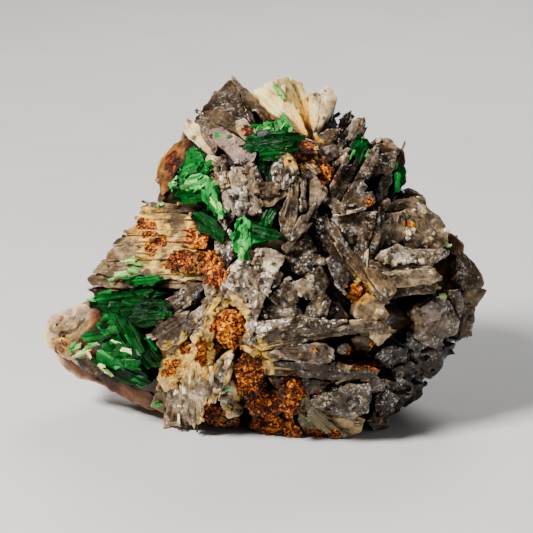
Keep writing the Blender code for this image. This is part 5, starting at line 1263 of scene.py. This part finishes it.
# Iron-oxide patches on the sheet: middle, radii, strength, how wide their yellow halo is, and how bright the
# orange is (0 near-black crust, 1 fresh ochre).
rustPatches = {
    "shoulder": ((173, 166), (9, 13), 1.0, 1.2, 0.8),
    "ledgeUpper": ((147, 228), (10, 10), 1.05, 1.4, 0.6),
    "ledgeSide": ((159, 239), (10, 8), 0.95, 1.4, 0.75),
    "ledgeLow": ((151, 250), (8, 10), 1.0, 1.4, 0.6),
    "shelfDark": ((181, 262), (14, 11), 1.1, 1.2, 0.35),
    "shelfKnob": ((198, 238), (10, 11), 1.15, 1.2, 1.0),
    "shelfMiddle": ((204, 256), (10, 9), 1.0, 1.1, 0.6),
    "shelfFoot": ((214, 272), (12, 16), 1.1, 1.0, 0.75),
    "massTop": ((228, 329), (15, 20), 1.2, 1.15, 1.0),
    "massUpper": ((248, 375), (16, 22), 1.2, 1.1, 0.45),
    "massMiddle": ((266, 402), (26, 20), 1.25, 1.0, 0.15),
    "massRight": ((292, 392), (13, 18), 1.2, 1.0, 0.6),
    "massFoot": ((276, 424), (26, 14), 1.1, 1.0, 0.5),
    "massLeft": ((213, 412), (13, 11), 1.0, 1.1, 0.2),
    "floorEdge": ((318, 436), (24, 6), 0.8, 1.0, 0.7),
    "palePlateA": ((186, 348), (8, 6), 0.9, 1.5, 0.9),
    "palePlateB": ((203, 347), (7, 7), 0.95, 1.5, 0.9),
    "palePlateC": ((202, 357), (6, 7), 0.85, 1.5, 0.9),
    "palePlateD": ((172, 364), (9, 6), 0.85, 1.5, 1.0),
    "palePlateE": ((168, 373), (8, 5), 0.85, 1.5, 1.0),
    "fibres": ((303, 150), (14, 13), 1.2, 1.1, 0.3),
    "plate": ((325, 171), (8, 12), 1.15, 1.0, 0.75),
    "blockCrack": ((370, 202), (4, 6), 1.1, 1.0, 0.9),
    "cheekFleck": ((409, 224), (7, 4), 1.0, 1.0, 1.0),
    "slotEdge": ((359, 290), (9, 9), 1.0, 1.1, 0.7),
    "slabEdge": ((336, 172), (4, 13), 0.7, 1.0, 0.4),
    "nose": ((248, 130), (7, 7), 0.8, 1.0, 0.2),
    "caveA": ((356, 353), (11, 7), 1.1, 1.0, 0.5),
    "caveB": ((346, 362), (7, 6), 0.8, 1.0, 0.3),
    "caveC": ((372, 345), (5, 4), 0.95, 1.0, 0.8),
    "caveD": ((368, 364), (22, 6), 0.95, 1.0, 0.3),
    "bladeFleck": ((316, 352), (4, 4), 0.7, 1.0, 0.8),
    "rightCavity": ((446, 278), (6, 12), 0.6, 1.3, 0.2),
    "lobe": ((60, 347), (9, 7), 0.6, 1.4, 0.7),
    "crownFoot": ((222, 150), (6, 6), 0.5, 1.0, 0.2),
}

# Pale yellow ground around the left-hand rust; painted shade in the hollows and gaps, under the blades and on
# the shaded right and lower right, with a few patches of darker ground: middle, radii, strength.
yellowPatches = {
    "betweenMasses": ((234, 347), (16, 12), 0.6),
    "palePlate": ((186, 360), (34, 24), 0.75),
    "ledgeHalo": ((152, 238), (18, 14), 0.35),
    "shelfHalo": ((200, 262), (20, 22), 0.4),
    "fanGlow": ((303, 124), (12, 34), 0.85),
    "massEdge": ((226, 396), (30, 14), 0.3),
    "recessHead": ((303, 245), (14, 18), 0.25),
}
shadeAndDarkPatches = {
    "underRim": ((420, 368), (36, 26), 0.60),
    "betweenBlades": ((330, 352), (62, 22), 0.26),
    "betweenStems": ((306, 232), (42, 36), 0.28),
    "footSide": ((346, 402), (34, 22), 0.22),
    "rightSide": ((460, 296), (24, 38), 0.34),
    "crownSide": ((268, 186), (38, 22), 0.18),
    "cave": ((365, 357), (30, 14), 0.85),
    "underBlades": ((330, 374), (60, 12), 0.35),
    "lowRim": ((432, 368), (46, 36), 0.62),
    "slot": ((414, 300), (30, 5), 0.9),
    "cavity": ((448, 272), (7, 20), 0.75),
    "stemVoid": ((320, 240), (10, 26), 0.8),
    "wedgeVoid": ((346, 246), (10, 18), 0.7),
    "blockHole": ((374, 183), (11, 12), 0.95),
    "peakZone": ((235, 104), (9, 12), 0.5),
    "recessHole": ((306, 300), (4, 7), 0.8),
    "recessSide": ((336, 300), (12, 16), 0.3),
    "footGap": ((372, 404), (5, 16), 0.6),
    "fibres": ((311, 156), (6, 6), 0.6),
    "crownHollow": ((266, 172), (12, 10), 0.6),
}


def patchField(x, y, middle, radii, warp):
    # one in the middle of an oval, falling smoothly to nothing past its rim; the rim is pushed about by noise
    radius = np.hypot((x - middle[0]) / radii[0], (y - middle[1]) / radii[1]) + warp
    return np.clip(1.7 - 1.25 * radius, 0, 1)


def colourValues(stone, maps):
    # every masking value of a quartz surface, from its finish, its place on the sheet and its depth in the
    # stone
    x, y, depth = sheetPoint(stone["points"])
    frontness = np.clip((depth - (dome(x, y) - 5.0)) / 2.0, 0, 1)
    hidden = 1 - frontness
    warp = 0.42 * roughNoise(x / 7, y / 7 + depth / 0.9, 91, 4)
    rust, halo, shadeAndDark = np.zeros((3, len(x)))
    fresh = np.full_like(x, 0.001)
    freshWeight = np.full_like(x, 0.002)
    for middle, radii, strength, widening, bright in rustPatches.values():
        field = strength * patchField(x, y, middle, radii, warp)
        rust = np.maximum(rust, field)
        nearby = field ** 2 + 1e-6
        fresh += bright * nearby
        freshWeight += nearby
        if widening > 1.05:
            wide = (radii[0] * 1.35 * widening, radii[1] * 1.35 * widening)
            halo = np.maximum(halo, 0.8 * strength * patchField(x, y, middle, wide, warp))
    for middle, radii, strength in yellowPatches.values():
        halo = np.maximum(halo, strength * patchField(x, y, middle, radii, warp))
    for middle, radii, strength in shadeAndDarkPatches.values():
        shadeAndDark = np.maximum(shadeAndDark, strength * patchField(x, y, middle, radii, 0.5 * warp))

    # the hidden side has stains of its own, by noise
    stain = 1.9 * roughNoise(x / 60, y / 60, 57, 3)
    rust = rust * frontness + 0.8 * np.clip(stain - 0.55, 0, 1) * hidden
    halo = halo * frontness + 0.6 * np.clip(stain - 0.25, 0, 1) * hidden

    # the bare ground shows in the gaps between the blades and its dark tone there is painted shade; it is paler
    # at the left, at the right rim and on the hidden side
    left = np.clip((215 - x) / 60, 0, 1)
    rightRim = np.clip((x - 440) / 25, 0, 1)
    ground = stone["ground"] > 0
    tone = np.where(ground, 0.20 + 0.42 * left + 0.30 * rightRim + 0.18 * hidden, stone["tone"])
    tone = tone + 0.10 * roughNoise(x / 11 + depth, y / 11, 61, 3)
    # painted highlight on the rims of the blade fronts, and painted shade down their sides, darker the deeper
    # they sink
    tone = tone + 0.10 * np.clip((stone["share"] - 0.8) / 0.2, 0, 1) * (stone["sunk"] < 0.2)
    tone = tone - 0.22 * np.clip(stone["sunk"] / 1.6, 0, 1)
    # painted shade: the front is darkened in the shade patches
    return {
        "tone": tone * (1 - 0.85 * shadeAndDark * frontness),
        "warm": np.where(ground, 0.70 + 0.1 * left, stone["warm"]),
        "rust": np.maximum(rust, 0.55 * stone["rusty"]),
        "halo": np.maximum(halo, 0.55 * stone["haloed"]),
        "fresh": fresh / freshWeight,
        "cavity": cavityOf(stone["points"], maps),
        **{name: stone[name] for name in ("glassy", "olive", "pink", "grain")},
    }


def addObject(name, data):
    added = bpy.data.objects.new(name, data)
    bpy.context.scene.collection.objects.link(added)
    return added


def meshPiece(name, stone, values, material, sharpAngle):
    # a surface in metres with its values as attributes; points under the resting face are laid on it
    points = stone["points"] * sheet["metres"]
    points[:, 2] = np.maximum(points[:, 2], 0.0)
    corners = np.concatenate([stone["quads"].ravel(), stone["triangles"].ravel()])
    sizes = np.repeat([4, 3], [len(stone["quads"]), len(stone["triangles"])])
    mesh = bpy.data.meshes.new(name)
    mesh.vertices.add(len(points))
    mesh.vertices.foreach_set("co", points.astype(np.float32).ravel())
    mesh.loops.add(len(corners))
    mesh.loops.foreach_set("vertex_index", corners.astype(np.int32))
    mesh.polygons.add(len(sizes))
    mesh.polygons.foreach_set("loop_start", (np.cumsum(sizes) - sizes).astype(np.int32))
    mesh.polygons.foreach_set("loop_total", sizes.astype(np.int32))
    mesh.update(calc_edges=True)
    mesh.validate()
    for label, value in values.items():
        kind, field = ("FLOAT_VECTOR", "vector") if value.ndim == 2 else ("FLOAT", "value")
        mesh.attributes.new(label, kind, "POINT").data.foreach_set(field, value.astype(np.float32).ravel())
    mesh.shade_smooth()
    mesh.set_sharp_from_angle(angle=math.radians(sharpAngle))
    mesh.materials.append(material)
    return addObject(name, mesh)


# materials: every value given to a node is a socket or a plain number, vector or colour

def feed(tree, value, socket):
    # a socket is linked and a plain value is set; a plain colour is opaque
    if hasattr(value, "node"):
        tree.links.new(value, socket)
    elif socket.type == "RGBA":
        socket.default_value = (*value, 1.0)
    else:
        socket.default_value = value


def feedAll(tree, values, sockets):
    for label, value in values.items():
        feed(tree, value, sockets[label])


def addNode(tree, kind, values, output=0, **settings):
    # a new node with its settings and inputs; gives the output that is asked for
    node = tree.nodes.new("ShaderNode" + kind)
    for name, value in settings.items():
        setattr(node, name, value)
    feedAll(tree, values, node.inputs)
    return node.outputs[output]


def mixColours(tree, factor, first, second, blend="MIX"):
    values = {0: factor, 6: first, 7: second}
    return addNode(tree, "Mix", values, 2, data_type="RGBA", blend_type=blend, clamp_factor=True)


def maths(tree, operation, *values, clamp=False):
    return addNode(tree, "Math", dict(enumerate(values)), operation=operation, use_clamp=clamp)


def centred(tree, value, amount):
    # a value from 0 to 1 scaled and moved so that its middle is nothing
    return maths(tree, "MULTIPLY_ADD", value, amount, -0.5 * amount)


def stretched(tree, value, low, high, newLow=0.0, newHigh=1.0):
    # a value's range brought to a new one, held at both ends
    return addNode(tree, "MapRange", dict(enumerate((value, low, high, newLow, newHigh))))


def ramp(tree, factor, stops):
    node = tree.nodes.new("ShaderNodeValToRGB")
    feed(tree, factor, node.inputs[0])
    elements = node.color_ramp.elements
    while len(elements) < len(stops):
        elements.new(0.5)
    for element, (position, colour) in zip(elements, stops):
        element.position = position
        element.color = (*colour, 1.0)
    return node.outputs[0]


def noiseNode(tree, vector, scale, detail, roughness, distortion=0.0):
    values = {"Vector": vector, "Scale": scale, "Detail": detail, "Roughness": roughness}
    return addNode(tree, "TexNoise", {**values, "Distortion": distortion}, "Fac")


def attribute(tree, name, output="Fac"):
    return addNode(tree, "Attribute", {}, output, attribute_name=name)


def startGroup(name, inputs, outputs):
    # a node group with named sockets: kind and plain value for each input, kind for each output
    group = bpy.data.node_groups.new(name, "ShaderNodeTree")
    for label, (kind, value) in inputs.items():
        socket = group.interface.new_socket(name=label, in_out="INPUT", socket_type="NodeSocket" + kind)
        if value is not None:
            socket.default_value = value
    for label, kind in outputs.items():
        group.interface.new_socket(name=label, in_out="OUTPUT", socket_type="NodeSocket" + kind)
    return group, group.nodes.new("NodeGroupInput").outputs, group.nodes.new("NodeGroupOutput").inputs


def useGroup(tree, group, **values):
    node = tree.nodes.new("ShaderNodeGroup")
    node.node_tree = group
    feedAll(tree, values, node.inputs)
    return node.outputs


def makeGrainGroup():
    # streaks that run along a blade: noise read with the grain squeezed across the blade and stretched along
    # it
    group, start, end = startGroup(
        "bladeGrain",
        {"Grain": ("Vector", None), "Fineness": ("Float", 1.0)},
        {"Streak": "Float", "Speck": "Float"})
    stretch = addNode(group, "VectorMath", {0: start["Grain"], 1: (0.7, 4.5, 4.5)}, operation="MULTIPLY")
    speckScale = maths(group, "MULTIPLY", start["Fineness"], 4.0)
    feedAll(group, {"Streak": noiseNode(group, stretch, start["Fineness"], 5.0, 0.62),
                    "Speck": noiseNode(group, start["Grain"], speckScale, 3.0, 0.7)}, end)
    return group


def makeFacetGroup():
    # small flat facets: the surface normal tilted by a random amount for each cell of a fine cell pattern
    group, start, end = startGroup(
        "crystalFacets",
        {"Place": ("Vector", None), "Density": ("Float", 2600.0), "Tilt": ("Float", 0.5),
         "Amount": ("Float", 1.0)},
        {"Normal": "Vector", "Cell": "Float"})
    values = {"Vector": start["Place"], "Scale": start["Density"]}
    cell = addNode(group, "TexVoronoi", values, "Color", feature="F1")
    aside = addNode(group, "VectorMath", {0: cell, 1: (0.5, 0.5, 0.5)}, operation="SUBTRACT")
    strength = maths(group, "MULTIPLY", start["Tilt"], start["Amount"])
    aside = addNode(group, "VectorMath", {0: aside, "Scale": strength}, operation="SCALE")
    normal = addNode(group, "NewGeometry", {}, "Normal")
    tilted = addNode(group, "VectorMath", {0: normal, 1: aside}, operation="ADD")
    feedAll(group, {"Normal": addNode(group, "VectorMath", {0: tilted}, operation="NORMALIZE"),
                    "Cell": addNode(group, "SeparateColor", {0: cell})}, end)
    return group


def makeIronGroup():
    # iron oxide: a halo of pale yellow, then orange broken by noise into brown and near-black crusts
    group, start, end = startGroup(
        "ironStain",
        {"Color": ("Color", None), "Place": ("Vector", None), "Rust": ("Float", 0.0), "Halo": ("Float", 0.0),
         "Fresh": ("Float", 0.5)},
        {"Color": "Color", "Mask": "Float", "Height": "Float"})
    ragged = noiseNode(group, start["Place"], 700.0, 6.0, 0.7)
    crust = noiseNode(group, start["Place"], 2300.0, 6.0, 0.72, 0.8)
    edge = maths(group, "ADD", start["Rust"], centred(group, ragged, 0.9))
    mask = stretched(group, edge, 0.36, 0.62)
    haloEdge = maths(group, "ADD", start["Halo"], centred(group, ragged, 0.8))
    haloMask = stretched(group, haloEdge, 0.25, 0.85, 0.0, 0.9)
    veins = noiseNode(group, start["Place"], 1500.0, 4.0, 0.6, 1.2)
    fromVein = maths(group, "ABSOLUTE", maths(group, "SUBTRACT", veins, 0.5))
    crack = stretched(group, fromVein, 0.0, 0.045, 0.42, 0.0)
    depth = maths(group, "MULTIPLY_ADD", edge, 0.25, maths(group, "MULTIPLY_ADD", crust, 3.4, -1.62))
    depth = maths(group, "MULTIPLY_ADD", start["Fresh"], 0.36, depth)
    depth = maths(group, "ADD", depth, maths(group, "MULTIPLY_ADD", ragged, 1.1, -0.56))
    depth = maths(group, "SUBTRACT", depth, crack)
    iron = ramp(group, depth, [
        (0.18, (0.004, 0.0008, 0.0)), (0.34, (0.024, 0.0025, 0.0)), (0.46, (0.100, 0.0130, 0.0)),
        (0.58, (0.33, 0.052, 0.0)), (0.76, (0.62, 0.155, 0.0)), (1.00, (0.90, 0.43, 0.0))])
    yellow = ramp(group, ragged, [
        (0.30, (0.34, 0.105, 0.0)), (0.44, (0.62, 0.29, 0.006)), (0.60, (0.88, 0.64, 0.14))])
    withHalo = mixColours(group, haloMask, start["Color"], yellow)
    feedAll(group, {"Color": mixColours(group, mask, withHalo, iron), "Mask": mask,
                    "Height": maths(group, "MULTIPLY", crust, mask)}, end)
    return group


def makeCreviceGroup():
    # painted shade in the gaps: by the cavity value the colour darkens to a warm brown (iron stain and painted
    # shade), then to a warm near-black (painted shade)
    group, start, end = startGroup(
        "creviceShade",
        {"Color": ("Color", None), "Cavity": ("Float", 0.0), "Strength": ("Float", 0.9)},
        {"Color": "Color"})
    amount = maths(group, "MULTIPLY", start["Cavity"], start["Strength"])
    stainAndShade = stretched(group, amount, 0.0, 0.42, 0.0, 0.9)
    stainedAndShaded = mixColours(group, stainAndShade, start["Color"], (0.30, 0.12, 0.045), "MULTIPLY")
    shade = stretched(group, amount, 0.35, 0.95, 0.0, 0.92)
    feed(group, mixColours(group, shade, stainedAndShaded, (0.006, 0.0045, 0.0035)), end["Color"])
    return group


def startMaterial(name):
    # a material, its node tree, the inputs of its shader and the object's own coordinates
    material = bpy.data.materials.new(name)
    material.use_nodes = True
    tree = material.node_tree
    return material, tree, tree.nodes["Principled BSDF"].inputs, addNode(tree, "TexCoord", {}, "Object")


def bumped(tree, height, normal, strength, distance):
    values = {"Height": height, "Normal": normal, "Strength": strength, "Distance": distance}
    return addNode(tree, "Bump", values, "Normal")


def streaksAndSpecks(tree, grain, look):
    streaked = centred(tree, grain["Streak"], look["streak"])
    return maths(tree, "ADD", streaked, centred(tree, grain["Speck"], look["speck"]))


def quartzMaterial(groups, look):
    # bladed quartz: a grey to cream ramp by tone and warmth, streaked along each blade, stained and shaded
    material, tree, shader, here = startMaterial("bladedQuartz")
    tone = attribute(tree, "tone")
    glassy = attribute(tree, "glassy")

    # lightness: the blade's tone, less varied where it is pale; clouds, patches of painted highlight on glassy
    # faces, streaks and specks
    grain = useGroup(tree, groups["grain"], Grain=attribute(tree, "grain", "Vector"), Fineness=0.65)
    calm = maths(tree, "MULTIPLY_ADD", tone, -0.9, 1.30, clamp=True)
    clouded = centred(tree, noiseNode(tree, here, look["cloudScale"], 3.0, 0.55, 0.6), look["cloud"])
    crowd = stretched(tree, noiseNode(tree, here, look["glintCrowd"], 4.0, 0.7), 0.47, 0.62)
    # painted highlight: glassy faces are paler in the patches where glints crowd
    highlighted = maths(tree, "MULTIPLY", crowd, stretched(tree, glassy, 0.3, 0.9, 0.0, look["highlightPatch"]))
    varied = maths(tree, "ADD", maths(tree, "ADD", clouded, highlighted), streaksAndSpecks(tree, grain, look))
    value = maths(tree, "MULTIPLY_ADD", varied, calm, tone)
    cool = ramp(tree, value, look["coolRamp"])
    colour = mixColours(tree, attribute(tree, "warm"), cool, ramp(tree, value, look["warmRamp"]))
    for name, (amount, tint) in look["tints"].items():
        colour = mixColours(tree, maths(tree, "MULTIPLY", attribute(tree, name), amount), colour, tint)

    # stain, glinting facets, painted glints and painted shade
    iron = useGroup(tree, groups["iron"], Color=colour, Place=here, Rust=attribute(tree, "rust"),
                    Halo=attribute(tree, "halo"), Fresh=attribute(tree, "fresh"))
    gloss = maths(tree, "MULTIPLY", glassy, maths(tree, "SUBTRACT", 1.0, iron["Mask"]))
    facets = useGroup(tree, groups["facets"], Place=here, Density=look["facetDensity"], Tilt=look["facetTilt"],
                      Amount=stretched(tree, gloss, 0.1, 0.8))
    # painted glints: the colour goes to near-white in random facet cells, crowded in patches on glassy faces
    bright = stretched(tree, facets["Cell"], look["glintFrom"], look["glintFrom"] + 0.25)
    glint = maths(tree, "MULTIPLY", bright, stretched(tree, gloss, 0.15, 0.7, 0.0, 0.9))
    glintPatches = maths(tree, "MULTIPLY", crowd, stretched(tree, glassy, 0.4, 0.9, 0.25, 1.0))
    glinting = mixColours(tree, maths(tree, "MULTIPLY", glint, glintPatches), iron["Color"], (0.92, 0.90, 0.86))
    crevice = useGroup(tree, groups["crevice"], Color=glinting, Cavity=attribute(tree, "cavity"),
                       Strength=look["crevice"])

    # skin: rough where it is rusty, smooth where it is glassy
    rough = maths(tree, "MULTIPLY_ADD", gloss, -0.34, look["roughness"])
    rough = maths(tree, "ADD", rough, centred(tree, grain["Speck"], 0.3), clamp=True)
    rough = maths(tree, "MULTIPLY_ADD", iron["Mask"], 0.3, rough, clamp=True)
    height = maths(tree, "MULTIPLY_ADD", grain["Streak"], 0.7, maths(tree, "MULTIPLY", grain["Speck"], 0.5))
    height = maths(tree, "MULTIPLY_ADD", iron["Height"], 1.6, height)
    coat = maths(tree, "MULTIPLY_ADD", crowd, look["coat"] - 0.2, 0.2)
    feedAll(tree, {
        "Base Color": crevice["Color"],
        "Roughness": rough,
        "Normal": bumped(tree, height, facets["Normal"], look["bump"], 0.00012),
        "IOR": 1.54,
        "Specular IOR Level": 0.16,
        "Subsurface Weight": 0.08,
        "Subsurface Radius": (1.0, 0.65, 0.4),
        "Subsurface Scale": 0.0004,
        "Coat Weight": maths(tree, "MULTIPLY", gloss, coat),
        "Coat Roughness": 0.12,
    }, shader)
    return material


quartzLook = {
    "streak": 0.30,
    "speck": 0.50,
    "cloud": 1.0,
    "cloudScale": 560.0,
    "glintFrom": 0.66,
    "highlightPatch": 0.26,
    "glintCrowd": 620.0,
    "coolRamp": [(0.0, (0.005, 0.0035, 0.002)), (0.25, (0.020, 0.0140, 0.009)), (0.50, (0.066, 0.0480, 0.033)),
                 (0.70, (0.20, 0.155, 0.112)), (0.88, (0.55, 0.46, 0.35)), (1.0, (0.84, 0.77, 0.64))],
    "warmRamp": [(0.0, (0.008, 0.0035, 0.001)), (0.25, (0.032, 0.0165, 0.006)), (0.50, (0.100, 0.0580, 0.022)),
                 (0.70, (0.28, 0.172, 0.068)), (0.88, (0.66, 0.45, 0.15)), (1.0, (0.86, 0.69, 0.30))],
    "tints": {"olive": (0.55, (0.20, 0.17, 0.08)), "pink": (0.22, (0.55, 0.38, 0.34))},
    "crevice": 0.95,
    "roughness": 0.44,
    "facetDensity": 4600.0,
    "facetTilt": 0.9,
    "bump": 0.6,
    "coat": 1.0,
}


def greenMaterial(groups, look):
    # torbernite: a ramp from near-black emerald through green and mint to pale lime, striped along each plate
    material, tree, shader, here = startMaterial("torbernitePlates")
    grain = useGroup(tree, groups["grain"], Grain=attribute(tree, "grain", "Vector"), Fineness=1.1)
    value = maths(tree, "ADD", attribute(tree, "tone"), streaksAndSpecks(tree, grain, look))
    # painted shade in the gaps between the plates, darker with the cavity value
    crevice = useGroup(tree, groups["crevice"], Color=ramp(tree, value, look["ramp"]),
                       Cavity=attribute(tree, "cavity"), Strength=look["crevice"])
    facets = useGroup(tree, groups["facets"], Place=here, Density=1400.0, Tilt=look["facetTilt"], Amount=1.0)
    feedAll(tree, {
        "Base Color": crevice["Color"],
        "Roughness": maths(tree, "MULTIPLY_ADD", grain["Speck"], 0.35, look["roughness"] - 0.17, clamp=True),
        "Normal": bumped(tree, grain["Streak"], facets["Normal"], 0.6, 0.0001),
        "IOR": 1.59,
        "Specular IOR Level": 0.06,
        "Coat Weight": 0.02,
        "Coat Roughness": 0.15,
    }, shader)
    return material


greenLook = {
    "streak": 0.42,
    "speck": 0.28,
    "ramp": [(0.0, (0.0002, 0.006, 0.0006)), (0.16, (0.0004, 0.026, 0.0025)), (0.34, (0.0008, 0.070, 0.008)),
             (0.52, (0.003, 0.140, 0.018)), (0.68, (0.024, 0.26, 0.040)), (0.84, (0.17, 0.50, 0.11)),
             (1.0, (0.68, 0.84, 0.30))],
    "crevice": 0.7,
    "roughness": 0.34,
    "facetTilt": 0.35,
}


def floorMaterial():
    # a plain pale matt ground with the faintest mottling
    material, tree, shader, here = startMaterial("paleFloor")
    mottle = noiseNode(tree, here, 60.0, 3.0, 0.5)
    pale = ramp(tree, mottle, [(0.3, (0.60, 0.59, 0.575)), (0.7, (0.63, 0.62, 0.605))])
    feedAll(tree, {"Base Color": pale, "Roughness": 0.8}, shader)
    return material


# The pieces. Each surface has a number of its own that starts its noise and its random draws.

surfaces = {}
bladeNumber = 0
for regionName, rows in regions.items():
    parts = []
    for row in rows.values():
        bladeNumber += 1
        form = blade(*row)
        finish = finishes[form["finish"]]
        area = outlineArea(form["outline"])
        part = bladeSurface(form, bladeNumber)
        parts.append(part)
        number = int(finish["crystals"] * area / 18)
        if number:
            parts.append(crystalsOn(part, number, 900 + bladeNumber))
        number = int(finish["slivers"] * area / 100)
        if number:
            parts.append(sliversOn(part, form, number, 2000 + bladeNumber))
    surfaces["quartz_" + regionName] = parts
print("quartz blades:", bladeNumber)
surfaces["quartz_body"] = [bodySurface()]
surfaces["quartz_back"] = hiddenSurfaces()
print("hidden blades:", len(surfaces["quartz_back"]))
surfaces["quartz_back_slivers"] = backSlivers()

plateNumber = 0
greens = {}
for node, rows in rosettes.items():
    greens[node] = []
    for row in rows.values():
        plateNumber += 1
        form = plate(*row)
        part = plateSurface(form, 300 + plateNumber)
        number = max(3, int(plateKinds[form["finish"]]["leaflets"] * outlineArea(form["outline"])))
        greens[node] += [part, leafletsOn(part, form, number, 1300 + plateNumber)]
print("torbernite plates:", plateNumber)
nearPoints = np.vstack([part["points"] for parts in {**surfaces, **greens}.values() for part in parts])
greens["torbernite_flakes"] = flakeSurfaces(nearPoints)
print("small plates:", len(flakes))
stones = {name: joined(parts) for name, parts in {**surfaces, **greens}.items()}
maps = depthMaps(np.vstack([stone["points"] for stone in stones.values()]))
print("depth maps made")

groups = {
    "grain": makeGrainGroup(),
    "facets": makeFacetGroup(),
    "iron": makeIronGroup(),
    "crevice": makeCreviceGroup(),
}
quartz = quartzMaterial(groups, quartzLook)
green = greenMaterial(groups, greenLook)

triangleTotal = 0
for name, stone in stones.items():
    if name in greens:
        shown = {"tone": stone["tone"], "cavity": cavityOf(stone["points"], maps), "grain": stone["grain"]}
        piece = meshPiece(name + "_plates", stone, shown, green, 35)
        if name in rosettes:
            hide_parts(name)
    else:
        piece = meshPiece(name, stone, colourValues(stone, maps), quartz, 50)
        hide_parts("matrix")
    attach(piece, "root")
    size = 2 * len(stone["quads"]) + len(stone["triangles"])
    triangleTotal += size
    print(name, "triangles", size)
print("triangles in all:", triangleTotal)


# floor, light and camera, in metres

stageLook = {
    "floorSize": 1.6,
    "floorDrop": 0.0001,
    "skyColour": (0.80, 0.82, 0.85),
    "skyStrength": 0.10,
}

# Square lamps that face the middle of the stone: place, size, power and colour.
lamps = {
    "key": ((-0.19, -0.17, 0.25), 0.08, 3.4, (1.0, 0.97, 0.93)),
    "fill": ((0.26, -0.22, 0.10), 0.3, 0.14, (1.0, 1.0, 1.0)),
    "rim": ((0.05, 0.24, 0.22), 0.15, 0.7, (1.0, 1.0, 1.0)),
}
aim = Vector(sheet["seat"] * sheet["metres"])


def addFloor():
    half = stageLook["floorSize"] / 2
    drop = -stageLook["floorDrop"]
    mesh = bpy.data.meshes.new("floor")
    mesh.from_pydata([(-half, -half, drop), (half, -half, drop), (half, half, drop), (-half, half, drop)], [],
                     [(0, 1, 2, 3)])
    mesh.materials.append(floorMaterial())
    floor = addObject("floor", mesh)


def addFacing(name, data, location):
    # a lamp or camera whose back is turned away from the middle of the stone
    added = addObject(name, data)
    added.location = location
    added.rotation_euler = (aim - Vector(location)).to_track_quat("-Z", "Y").to_euler()
    return added


def addLamps():
    for name, (location, size, power, colour) in lamps.items():
        data = bpy.data.lights.new(name, "AREA")
        data.size = size
        data.energy = power
        data.color = colour
        addFacing(name, data, location)


def addSky():
    world = bpy.data.worlds.new("studio")
    world.use_nodes = True
    background = world.node_tree.nodes["Background"]
    background.inputs["Color"].default_value = (*stageLook["skyColour"], 1.0)
    background.inputs["Strength"].default_value = stageLook["skyStrength"]
    bpy.context.scene.world = world


def addCamera():
    # the camera stands on the sight line through the sheet's middle, 300 mm away, so a sheet point (x, y)
    # shows at the same pixel of a picture 533 pixels wide
    data = bpy.data.cameras.new("camera")
    data.sensor_width = 36.0
    data.lens = data.sensor_width * sheet["sight"] / (2 * sheet["middle"] * sheet["tenth"])
    data.clip_start = 0.01
    location = aim + Vector(nearer) * sheet["sight"] * sheet["metres"]
    bpy.context.scene.camera = addFacing("camera", data, location)


addFloor()
addLamps()
addSky()
addCamera()
print("floor, lights and camera placed")
